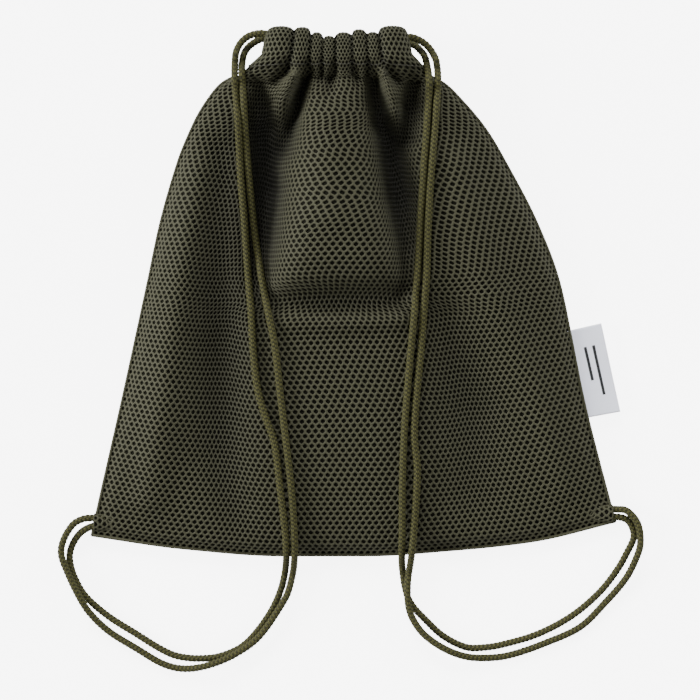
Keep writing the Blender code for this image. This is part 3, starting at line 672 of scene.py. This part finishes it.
COLUMNS = 82
ROWS = 108
DRAWN_IN = 0.10  # how much closer the threads lie for each millimetre of crease
DEEPEST = 22.0  # the depth of crease where the painted shade makes the yarn its darkest
front_grid = cloth_grid(front_height, lambda x, y: DRAWN_IN * crease_depth(x, y), 170, 200)
# painted shade on the front panel's yarn, darker the deeper the crease
front_painted_shade = np.clip(crease_depth(front_grid[:, :, 0], front_grid[:, :, 1]) / DEEPEST, 0, 1)
front_inner, front_mesh = fabric("front_panel", front_grid, True, COLUMNS, ROWS, "front_panel",
                                 front_painted_shade)


# ------------------------ the back panel
REAR_CREASES = [
    [(-35, 192, 9, 4), (-40, 170, 7, 6), (-46, 130, 3, 9), (-50, 90, 0, 10)],
    [(-8, 192, 8, 4), (-8, 165, 6, 5), (-4, 130, 2, 8)],
    [(18, 192, 9, 4), (22, 168, 7, 6), (30, 125, 3, 9), (38, 85, 0, 10)],
    [(-50, 188, 7, 4), (-66, 172, 5, 6), (-84, 140, 1, 9)],
    [(33, 188, 7, 4), (46, 172, 5, 6), (62, 140, 1, 9)]]


REAR_TURN = 14.0  # how far in from its seams the back comes down to the floor
REAR_HALF_WIDTH = 165.0
REAR_LENGTH = 320.0
REAR_GAP = 0.3  # how near it comes to the floor


def rear_height(u, v, x, y):
    """The outside of the rear panel, which lies on the floor, millimetres."""
    turn = REAR_TURN * (1 + smoothstep(0.72, 1.0, v))
    side = (1 - np.abs(u)) * REAR_HALF_WIDTH * (1 - 0.7 * v)
    reach = np.ones_like(x)
    for distance in (side, REAR_LENGTH * v):
        left = 1 - np.clip(distance / turn, 0, 1)
        reach = reach * np.sqrt(np.clip(1 - left * left, 0, 1))
    low = REAR_GAP + 0.9 * smoothstep(0.9, 1.0, v)
    shape = np.zeros_like(x)
    for route in REAR_CREASES:
        shape = shape + stroke(x, y, route)
    seam = seam_z(v)
    return seam - REAR_GAP - (seam - REAR_GAP - low) * reach + shape * reach


rear_grid = cloth_grid(rear_height, lambda x, y: np.zeros_like(x), 110, 140)
rear_inner, rear_mesh = fabric("rear_panel", rear_grid, False, COLUMNS, ROWS, "rear_panel")


# ------------------------ the gathered casings
# the two casings gathered on the cords make a long ring, open at its two ends where they go in
RING_X = -8.9
RING_STRAIGHT = 31.5  # half of its straight stretch
RING_ROUND = 15.0  # radius of its round ends
RING_Z = MIDDLE_Z
RING_CLOSED = 0.78  # share of each quarter round which the casing covers
RING_HALF = RING_STRAIGHT + RING_ROUND
FLARE = {-1: 0.62, 1: 0.56}  # how much further each end of a casing reaches at its sewn base
FLARE_DROP = 3.5  # and how much lower, millimetres
FLARE_END = 0.35  # share of the section's length over which that fades out
PINCH = 2.8  # how far the creases are drawn in
PUFF_RISE = 3.0  # how much higher the top of a full puff stands than its creases
PUFF_DROP = 2.2  # how much lower the top of a crease stands than the plain section
CASING_GAP = 0.4  # how near a casing comes to the floor
# creases between the puffs of the front casing, as a fraction of its width, and how far the
# puff to the right of each stands out and up
PUFFS = [
    (0.0, 5.0, 0.6), (0.21, 4.4, -0.2), (0.325, 3.4, -3.6), (0.405, 3.0, -6.0), (0.49, 3.4, -3.6),
    (0.6, 2.8, -1.6), (0.7, 3.0, -3.4), (0.785, 5.2, 0.8), (1.0, 0, 0)]


def ring_place(share, level):
    """A place on the gathered ring and its outward direction; share 0 to 1, left to right."""
    quarter = RING_ROUND * math.pi / 2 * RING_CLOSED
    total = 2 * (RING_STRAIGHT + quarter)
    run = share * total
    if run < quarter:
        turn = (quarter - run) / RING_ROUND
        middle = -RING_STRAIGHT
        side = -1
    elif run > total - quarter:
        turn = (run - total + quarter) / RING_ROUND
        middle = RING_STRAIGHT
        side = 1
    else:
        return RING_X - RING_STRAIGHT + run - quarter, RING_Z + level * RING_ROUND, 0.0, level
    out_x, out_z = side * math.sin(turn), level * math.cos(turn)
    return (RING_X + middle + RING_ROUND * out_x, RING_Z + RING_ROUND * out_z, out_x, out_z)


def puff(share):
    """How full the puff at a place along the casing is there, how far it stands out, and up."""
    for (start, out, up), (end, _, _) in zip(PUFFS, PUFFS[1:]):
        if start <= share <= end:
            middle = (start + end) / 2
            half = (end - start) / 2
            t = min(abs(share - middle) / half, 1.0)
            return (1 - t ** 2.6) ** 0.6, out, up
    return 0.0, 0.0, 0.0


# the section of a casing from its stitched base over the top fold to the inside:
# (share of the cloth, along the bag, outwards)
SECTION = [
    (0.0, 186.5, -1.5), (0.08, 188.0, 1.2), (0.2, 193.0, 3.4), (0.35, 201.0, 4.6),
    (0.5, 209.5, 4.2), (0.6, 214.5, 2.6), (0.66, 216.8, 0.2), (0.72, 216.4, -2.4),
    (0.82, 211.0, -4.2), (1.0, 199.0, -4.6)]


CASING_ALONG = 64
CASING_ACROSS = 260


def casing_grid(level):
    """The casing of the front (level 1) or of the rear (level -1) as a grid of points."""
    shares = np.linspace(0, 1, CASING_ALONG)
    ys = through([(a, y) for a, y, _ in SECTION], shares)
    outs = through([(a, out) for a, _, out in SECTION], shares)
    grid = np.zeros((CASING_ALONG, CASING_ACROSS, 3))
    for i in range(CASING_ACROSS):
        share = i / (CASING_ACROSS - 1)
        x, z, out_x, out_z = ring_place(share, level)
        full, out, up = puff(share if level > 0 else 1 - share)
        for j, t in enumerate(shares):
            waist = min(t / 0.16, 1.0) ** 0.7
            swell = outs[j] + (out * full - PINCH) * waist * (1.0 if t < 0.62 else 0.45)
            rise = smoothstep(0.25, 0.6, t)
            y = ys[j] + (up + PUFF_RISE * full - PUFF_DROP) * rise - PUFF_RISE * full * (1 - rise)
            spread = max(1 - t / FLARE_END, 0.0) * abs((x - RING_X) / RING_HALF) ** 3
            y -= FLARE_DROP * spread
            lean = 1.0 + 0.05 * (1 - rise) + FLARE[1 if x > RING_X else -1] * spread
            grid[j, i] = (RING_X + (x + swell * out_x - RING_X) * lean, y,
                          max(z + swell * out_z, CASING_GAP))
    # the base is sewn to the panel, so it takes the panel's own height there
    height = front_height if level > 0 else rear_height
    x, y = grid[:, :, 0], np.minimum(grid[:, :, 1], NECK_Y - 1)
    u, v = unplan(x, y)
    base = height(u, v, x, y) + level * 0.7
    join = 1 - smoothstep(0.0, 0.34, shares)[:, None]
    grid[:, :, 2] = np.maximum(grid[:, :, 2] * (1 - join) + base * join, CASING_GAP)
    return grid


def casing_crease_shade(level, along, across):
    """Painted shade for the casing, where its cloth is drawn together: up to 0.9 in the creases, 0
    on the puffs.
    """
    shares = np.arange(across) / (across - 1)
    full = np.array([puff(c if level > 0 else 1 - c)[0] for c in shares])
    return np.repeat(((1 - full) ** 2 * 0.9)[None, :], along, axis=0)


CASINGS = {}
for word, level in (("front", 1), ("rear", -1)):
    casing = casing_grid(level)
    inner, pieces = fabric(word + "_casing", casing, level > 0, 42, 22, word + "_casing",
                           casing_crease_shade(level, *casing.shape[:2]))
    CASINGS[word] = (casing, [inner] + pieces)


# ------------------------ stitching
def stitch_tree():
    """Short lengths of thread laid end to end along a line."""
    tree, given = geometry_tree("stitch_row", (
        ("Line", "Object"), ("Pitch", "Float"), ("Stitch Length", "Float"),
        ("Thread Radius", "Float"), ("Thread", "Material")))
    line = add(tree, "GeometryNodeObjectInfo", Object=(given, "Line"))
    curve = add(tree, "GeometryNodeMeshToCurve", Mesh=(line, "Geometry"))
    spaced = add(tree, "GeometryNodeResampleCurve", {"mode": "LENGTH"}, Curve=(curve, "Curve"),
                 Length=(given, "Pitch"))
    thread = add(tree, "GeometryNodeMeshCylinder", Vertices=8, Radius=(given, "Thread Radius"),
                 Depth=(given, "Stitch Length"))
    heading = add(tree, "GeometryNodeInputTangent")
    turned = add(tree, "FunctionNodeAlignRotationToVector", {"axis": "Z"},
                 Vector=(heading, "Tangent"))
    row = add(tree, "GeometryNodeInstanceOnPoints", Points=(spaced, "Curve"),
              Instance=(thread, "Mesh"), Rotation=(turned, "Rotation"))
    real = add(tree, "GeometryNodeRealizeInstances", Geometry=(row, "Instances"))
    sewn = add(tree, "GeometryNodeSetMaterial", Geometry=(real, "Geometry"),
               Material=(given, "Thread"))
    add(tree, "NodeGroupOutput", Geometry=(sewn, "Geometry"))
    return tree


THREAD_RADIUS = 0.32
STITCH_PITCH = 3.0
STITCH_LENGTH = 2.3
STITCH_ROW = 0.24  # where the row runs, as a share of the casing's cloth
STITCHES = stitch_tree()
for word, level in (("front", 1), ("rear", -1)):
    casing = CASINGS[word][0]
    line = casing[int(STITCH_ROW * (len(casing) - 1))] + np.array((0, 0, level * 0.25))
    thread_line = new_object("thread_line", bpy.data.meshes.new("thread_line"))
    pairs = [(k, k + 1) for k in range(len(line) - 1)]
    thread_line.data.from_pydata((line * MM).tolist(), pairs, [])
    sewn = grown(word + "_casing_stitches", STITCHES,
                 {"Line": thread_line, "Pitch": STITCH_PITCH * MM,
                  "Stitch Length": STITCH_LENGTH * MM, "Thread Radius": THREAD_RADIUS * MM,
                  "Thread": THREAD})
    bpy.data.objects.remove(thread_line, do_unlink=True)
    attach(sewn, "bag")
    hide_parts(word + "_stitching")


# ------------------------ rolled edges of the bag
EDGE_RADIUS = 1.15
EDGE_SIDES = 10
EDGE_PLACES = 200


def edge_roll(name, u, v):
    """The turned edge where the front panel meets the back one, along cloth coordinates."""
    x, y = plan(u, v)
    line = np.stack([x, y, seam_z(v)], axis=1)
    along = unit(np.gradient(line, axis=0))
    side = unit(np.cross(along, (0, 0, 1.0)))
    up = np.cross(side, along)
    turn = np.linspace(0, 2 * np.pi, EDGE_SIDES, endpoint=False)
    piece = tube(name, line[:, None, :] + EDGE_RADIUS * round_about(turn, side, up))
    piece.data.materials.append(YARN)
    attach(piece, "bag")


# each roll sits just inside the edge of the cloth, and the side ones stop under the casing
sides = np.linspace(0.0, 0.985, EDGE_PLACES)
edge_roll("left_edge_roll", np.full(EDGE_PLACES, -0.998), sides)
edge_roll("right_edge_roll", np.full(EDGE_PLACES, 0.998), sides)
edge_roll("bottom_edge_roll", np.linspace(-1, 1, EDGE_PLACES), np.full(EDGE_PLACES, 0.002))


# ------------------------ folded corners
CORNER_LENGTH = 19.0
CORNER_HALF_WIDTH = 6.3
CORNER_HALF_HEIGHT = 4.3
CORNER_LIP = 0.2  # share of its length which curls round as the lip


def corner_grid(side, outer_x, middle_y):
    """The cloth sewn round the two cord ends, from under the panels out to its rolled lip."""
    rows = []
    for t in np.linspace(0, 1, 40):
        out = min(t / (1 - CORNER_LIP), 1.0)
        curl = max(t - (1 - CORNER_LIP), 0.0) / CORNER_LIP
        x = outer_x - side * CORNER_LENGTH * (1 - out) + side * 0.9 * math.sin(curl * math.pi / 2)
        wide = CORNER_HALF_WIDTH * (0.72 + 0.28 * math.sqrt(out)) - 1.5 * curl * curl
        high = CORNER_HALF_HEIGHT * (0.45 + 0.55 * math.sqrt(out)) - 1.3 * curl * curl
        ring = []
        for turn in np.linspace(-math.pi / 2, 1.5 * math.pi, 48):
            c, z = math.cos(turn), math.sin(turn)
            ring.append((x, middle_y + wide * math.copysign(abs(c) ** 0.8, c),
                         SEAM_Z + high * math.copysign(abs(z) ** 0.8, z)))
        rows.append(ring)
    return np.array(rows)


for word, side, outer_x, middle_y in (("left", -1, -175.0, -118.2), ("right", 1, 179.6, -112.0)):
    fabric(word + "_corner", corner_grid(side, outer_x, middle_y), side > 0, 9, 7, word + "_corner")


# ------------------------ label
LABEL_CORNERS = [(150.3, 13.4), (172.2, 18.4), (185.3, -42.3), (164.3, -46.2)]
LABEL_TUCK = 0.05  # share of its width which is sewn into the seam
RIBBON = 0.22  # thickness of the ribbon, millimetres
LAYER_GAP = 0.32  # each half of the folded ribbon is this far from the middle
FOLD = 0.985  # where the flat of the ribbon ends and its fold begins
INK_THICKNESS = 0.06
BAR_WIDTH = 0.09


def label_place(across, along, up):
    """A place on the label: across from the seam to the fold, along the seam, above its middle."""
    a, b, c, d = (np.array(p) for p in LABEL_CORNERS)
    near = a + (d - a) * along
    far = b + (c - b) * along
    x, y = near + (far - near) * across
    ripple = 0.35 * math.sin(2.1 * math.pi * along + 0.7) * across
    return x, y, SEAM_Z + ripple + up


def thin_piece(name, rows, thickness, material):
    """A thin piece of the label over rows of places, with its thickness to both sides."""
    grid = np.array(rows)
    piece = new_mesh(name, grid.reshape(-1, 3) * MM, [f[::-1] for f in grid_faces(*grid.shape[:2])])
    thick = piece.modifiers.new("thickness", "SOLIDIFY")
    thick.thickness = thickness * MM
    thick.offset = 0.0
    piece.data.materials.append(material)
    return piece


def ribbon_label():
    """The ribbon, from the seam out along its upper half, round the fold and back underneath."""
    rows = []
    for along in np.linspace(0, 1, 48):
        ring = [label_place(c, along, LAYER_GAP) for c in np.linspace(-LABEL_TUCK, FOLD, 22)]
        ring += [label_place(FOLD + (1 - FOLD) * math.sin(a), along, LAYER_GAP * math.cos(a))
                 for a in np.linspace(0.3, math.pi - 0.3, 7)]
        ring += [label_place(c, along, -LAYER_GAP) for c in np.linspace(FOLD, -LABEL_TUCK, 22)]
        rows.append(ring)
    return thin_piece("folded_label", rows, RIBBON, SATIN)


def printed_bar(name, across, start, end):
    """A plain printed bar on the upper side of the label."""
    rows = [[label_place(across + BAR_WIDTH * c, along, LAYER_GAP + RIBBON / 2 + 0.05)
             for c in np.linspace(-0.5, 0.5, 5)] for along in np.linspace(start, end, 30)]
    return thin_piece(name, rows, INK_THICKNESS, INK)


label = ribbon_label()
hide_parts("side_label")
bars = [printed_bar("label_bar_long", 0.62, 0.22, 0.78),
        printed_bar("label_bar_short", 0.36, 0.22, 0.60)]
for piece in [label] + bars:
    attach(piece, "label_tab")

for name in ("left_seam", "right_seam", "bottom_seam"):
    seam_node = bpy.data.objects[name]
    seam_node.data.materials.clear()
    seam_node.data.materials.append(SEAM)


# ------------------------ cords
CORD_DIAMETER = 5.0
CORD_RADIUS = CORD_DIAMETER / 2
# (x, y) in millimetres and, where there is one, the lift over what the cord lies on, in cord
# diameters
LEFT_FRONT_ROUTE = [
    (-77.6, 181, 0.1), (-75.6, 153), (-74, 117), (-71.5, 86), (-69.5, 56), (-67, 26), (-65.5, 0),
    (-62.5, -27), (-57, -46), (-51, -64), (-47.5, -92), (-45, -114), (-43.5, -131), (-44, -148),
    (-48, -166), (-57, -184), (-72, -202), (-88, -210), (-103, -212), (-118, -210.5),
    (-130, -205.5), (-147, -195), (-166, -183), (-181, -170), (-188.5, -158)]
LEFT_REAR_ROUTE = [
    (-72.8, 184, 0.1), (-71.6, 166), (-70.5, 141), (-67, 102), (-63.5, 71), (-57.5, 36), (-51, 4),
    (-47, -31), (-43.5, -61), (-40, -92), (-38, -122), (-38, -144, 0.3), (-41, -161, 1.1),
    (-46, -173, 1.1), (-62, -196, 1.1), (-79, -208.5, 1.1), (-97, -216, 1), (-114, -219, 0.1),
    (-129, -215.5), (-147, -205), (-165.5, -193.5), (-178, -181, 0.6), (-185.5, -169, 1.1),
    (-193, -153.5, 1.05)]
RIGHT_REAR_ROUTE = [
    (53.5, 178, 0.1), (52, 153), (50, 126), (48, 94), (46.5, 67), (44.5, 37.5), (41.5, 4),
    (38.5, -31), (36.5, -61), (35.5, -92), (35.5, -122), (35.5, -145), (38, -164), (42.5, -175),
    (52, -185.5), (64, -196.5), (79, -204), (91.5, -204.5), (106.5, -202), (129.5, -195),
    (152, -183), (170.5, -167.5), (183, -152), (191, -138)]
RIGHT_FRONT_ROUTE = [
    (59.3, 180, 0.1), (58.2, 162), (56, 135), (54, 109), (52.5, 79), (51.5, 48.5), (49.5, 20),
    (48, 0), (45, -31), (43.5, -58), (45.5, -79), (45, -99), (43.5, -122), (41.5, -144, 0.8),
    (39.5, -160, 1.1), (40, -175, 1.1), (44, -186, 1.1), (52, -196, 1.1), (65.5, -205, 1.1),
    (80.5, -210.5, 0.6), (97.5, -211.5), (112.5, -209), (134, -201.5), (158, -190.5),
    (175.5, -173.5), (189, -157, 0.6), (196.5, -141.5, 1.1)]
# fixed ends at heights of their own, (x, y, z) in millimetres: from inside the casing's slit to
# the front, and from the loop into the corner
LEFT_FRONT_HEAD = [
    (-50, 210, 32.5), (-55.5, 213, 31), (-61.5, 213.9, 30), (-69.5, 211.6, 29), (-75.4, 205.2, 29),
    (-77.6, 196, 30)]
LEFT_REAR_HEAD = [
    (-50, 208.5, 15), (-56, 211.5, 16), (-61, 211.6, 17.5), (-69.2, 205.5, 21.5),
    (-72.7, 196.5, 26.5)]
RIGHT_REAR_HEAD = [
    (31, 206.5, 16), (36, 208.7, 17), (41, 208.8, 18), (47, 204.4, 21.5), (51.6, 195.5, 26.5)]
RIGHT_FRONT_HEAD = [
    (31, 208, 32.5), (37, 210.8, 31), (42.8, 211, 30), (50.2, 207.4, 29), (56, 200.6, 29),
    (58.8, 192, 30)]
LEFT_FRONT_TAIL = [
    (-192.3, -146, 3.3), (-191.5, -136, 4.0), (-185.5, -126, 5.2), (-177, -121, 5.9),
    (-168, -120.5, 6)]
LEFT_REAR_TAIL = [
    (-197.8, -140, 8.0), (-196, -129.6, 8.2), (-190, -119.8, 7.6), (-183, -115.8, 7.2),
    (-176, -115.2, 6.4), (-168, -115.2, 6)]
RIGHT_REAR_TAIL = [
    (195, -127.9, 3.6), (192, -118.5, 4.6), (185.5, -114.8, 5.6), (173, -114.6, 6)]
RIGHT_FRONT_TAIL = [
    (199, -130.9, 8.0), (197, -118.7, 8.2), (190, -110.4, 7.6), (182.8, -109.2, 6.6),
    (173, -109.3, 6)]


def under(x, y):
    """Height of what a cord lies on at places seen from above: the front panel or the floor."""
    x = np.asarray(x, float)
    y = np.asarray(y, float)
    u, v = unplan(x, y)
    px, py = plan(u, v)
    outside = (np.hypot(px - x, py - y) > 0.4) | (np.abs(u) >= 0.999) | (v <= 0.001) | (v >= 0.999)
    return np.where(outside, 0.0, front_height(u, v, x, y))


def smooth_route(points, samples):
    """A smooth curve through the points, any number of numbers each."""
    points = np.array(points, float)
    ends = np.vstack((points[0] * 2 - points[1], points, points[-1] * 2 - points[-2]))
    path = []
    t = np.arange(samples)[:, None] / samples
    for a, b, c, d in zip(ends, ends[1:], ends[2:], ends[3:]):
        path.append(0.5 * (2 * b + (c - a) * t + (2 * a - 5 * b + 4 * c - d) * t * t
                           + (3 * b - a - 3 * c + d) * t ** 3))
    path.append(points[-1:])
    return np.vstack(path)


def run_lengths(path):
    """The length of a path up to each of its points."""
    return np.concatenate(([0], np.cumsum(np.linalg.norm(np.diff(path[:, :3], axis=0), axis=1))))


def window(pick, values, run):
    """At each point of a path the highest, or the mean, of the values near it."""
    return np.array([pick(values[np.abs(run - r) <= EVEN_OUT]) for r in run])


SAMPLES = 14  # points of a cord's path between two of its route's points
CORD_GAP = 0.15  # between a cord and what it lies on
CORD_FOOT = 0.8  # how wide a cord bears on the cloth, as a share of its radius
EVEN_OUT = 6.0  # length over which a cord bridges unevenness in what it lies on


def cord_path(head, route, tail):
    """Places along one strand, resting on the cloth and the floor, and where it is divided."""
    resting = CORD_RADIUS + CORD_GAP
    controls = [(x, y, z, 0.0) for x, y, z in head]
    controls += [(x, y, sum(lift) * CORD_DIAMETER + resting, 1.0) for x, y, *lift in route]
    controls += [(x, y, z, 0.0) for x, y, z in tail]
    path = smooth_route(controls, SAMPLES)
    reach = CORD_FOOT * CORD_RADIUS
    heights = np.max([under(path[:, 0] + dx, path[:, 1] + dy) for dx, dy in
                      ((0, 0), (reach, 0), (-reach, 0), (0, reach), (0, -reach))], axis=0)
    run = run_lengths(path)
    heights = window(np.mean, window(np.max, heights, run), run)
    path[:, 2] += np.clip(path[:, 3], 0, 1) * heights
    start = SAMPLES * len(head)
    end = SAMPLES * (len(head) + len(route) - 1)
    # from the fixed end on to the cloth in one even slope
    last = start - SAMPLES
    t = np.linspace(0, 1, SAMPLES + 1)
    path[last:start + 1, 2] = hermite(t, path[last, 2], path[start, 2],
                                      (path[last, 2] - path[last - 4, 2]) * SAMPLES / 4,
                                      (path[start + 4, 2] - path[start, 2]) * SAMPLES / 8)
    return path[:, :3], start, end


def evenly(path, step):
    """The path again with points a step apart, and the length up to each."""
    run = run_lengths(path)
    count = max(int(round(run[-1] / step)), 2)
    wanted = np.linspace(0, run[-1], count + 1)
    return np.stack([np.interp(wanted, run, path[:, k]) for k in range(3)], axis=1), wanted


BRAID_STEP = 2.9  # along the cord from one crossing of the braid to the next
BRAID_COLUMNS = 6  # crossings round the cord
RING_POINTS = 24
BRAID_SAMPLE = 0.55
BRAID_LOW = 0.89  # radius in the grooves, as a share of the cord's
BRAID_RELIEF = 0.12


def braid_rings(path):
    """Rings of points round a path in millimetres, with the relief of a plaited cord."""
    places, run = evenly(path, BRAID_SAMPLE)
    tangents = unit(np.gradient(places, axis=0))
    side = unit(np.cross(tangents[0], (0, 0, 1.0)))
    sides = []
    for tangent in tangents:
        side = unit(side - tangent * side.dot(tangent))
        sides.append(side)
    sides = np.array(sides)
    ups = np.cross(sides, tangents)
    turn = np.linspace(0, 2 * np.pi, RING_POINTS, endpoint=False)
    strand = turn * BRAID_COLUMNS / (2 * np.pi)
    slant = np.abs((strand % 1.0) * 2 - 1)
    phase = run[:, None] / BRAID_STEP + 0.5 * slant[None, :] + 0.5 * (np.floor(strand) % 2)[None, :]
    weave = 0.5 + 0.5 * np.cos(2 * np.pi * phase)
    groove = np.clip(np.minimum(slant, 1 - slant) * 5, 0, 1)[None, :]
    relief = smoothstep(0.12, 0.8, weave) * (0.35 + 0.65 * groove)
    radius = CORD_RADIUS * (BRAID_LOW + BRAID_RELIEF * relief)
    rings = places[:, None, :] + radius[:, :, None] * round_about(turn, sides, ups)
    return places, run, rings, relief


def braided(name, rings, relief):
    """A stretch of cord over some of the rings."""
    piece = tube(name, rings)
    # the braid's relief also paints shade into the cord's colour, darkest in its grooves
    layer = piece.data.attributes.new("relief", "FLOAT", "POINT")
    layer.data.foreach_set("value", relief.ravel().astype(np.float32))
    piece.data.materials.append(CORD)
    return piece


CHANNEL_Y = {-1: 206.5, 1: 200.5}
CHANNEL_IN = 2.2  # the cords lie this far inside the middle of the gathers


def channel_run(side, start, end):
    """The cord's way through the gathered channel: front, round the far end, and back behind."""
    front, rear = [], []
    y = CHANNEL_Y[side]
    for share in np.linspace(0.12, 0.88, 9):
        x, z, _, _ = ring_place(share, 1)
        front.append((x, y, z - CHANNEL_IN))
        x, z, _, _ = ring_place(share, -1)
        rear.append((x, y, z + CHANNEL_IN))
    far = (RING_X - side * RING_HALF, y, RING_Z)
    if side > 0:
        front.reverse()
    else:
        rear.reverse()
    return np.vstack((start, front[1:], far, rear[:-1], end))


STRANDS = [("left", "front", LEFT_FRONT_HEAD, LEFT_FRONT_ROUTE, LEFT_FRONT_TAIL),
           ("left", "rear", LEFT_REAR_HEAD, LEFT_REAR_ROUTE, LEFT_REAR_TAIL),
           ("right", "front", RIGHT_FRONT_HEAD, RIGHT_FRONT_ROUTE, RIGHT_FRONT_TAIL),
           ("right", "rear", RIGHT_REAR_HEAD, RIGHT_REAR_ROUTE, RIGHT_REAR_TAIL)]
inside_ends = {}
for word, strand, head, route, tail in STRANDS:
    strap = word + "_strap"
    path, start, end = cord_path(head, route, tail)
    along = run_lengths(path)
    places, run, rings, relief = braid_rings(path)
    high = int(np.argmin(np.abs(run - along[start])))
    low = int(np.argmin(np.abs(run - along[end])))
    upper = braided(f"{word}_cord_head_{strand}", rings[:high + 1], relief[:high + 1])
    free = braided(f"{word}_cord_{strand}", rings[high:low + 1], relief[high:low + 1])
    lower = braided(f"{word}_cord_tail_{strand}", rings[low:], relief[low:])
    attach(free, strap)
    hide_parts(f"{word}_strand_{strand}")
    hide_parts(f"{word}_tail_{strand}")
    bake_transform(upper)
    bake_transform(lower)
    inside_ends[word, strand] = path[0]

for word, side in (("left", -1), ("right", 1)):
    way = channel_run(side, inside_ends[word, "front"], inside_ends[word, "rear"])
    _, _, rings, relief = braid_rings(smooth_route(way, SAMPLES))
    run_piece = braided(word + "_cord_in_casing", rings, relief)
    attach(run_piece, "bag")
    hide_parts(word + "_drawcord_run")

bpy.data.objects.remove(CELL, do_unlink=True)
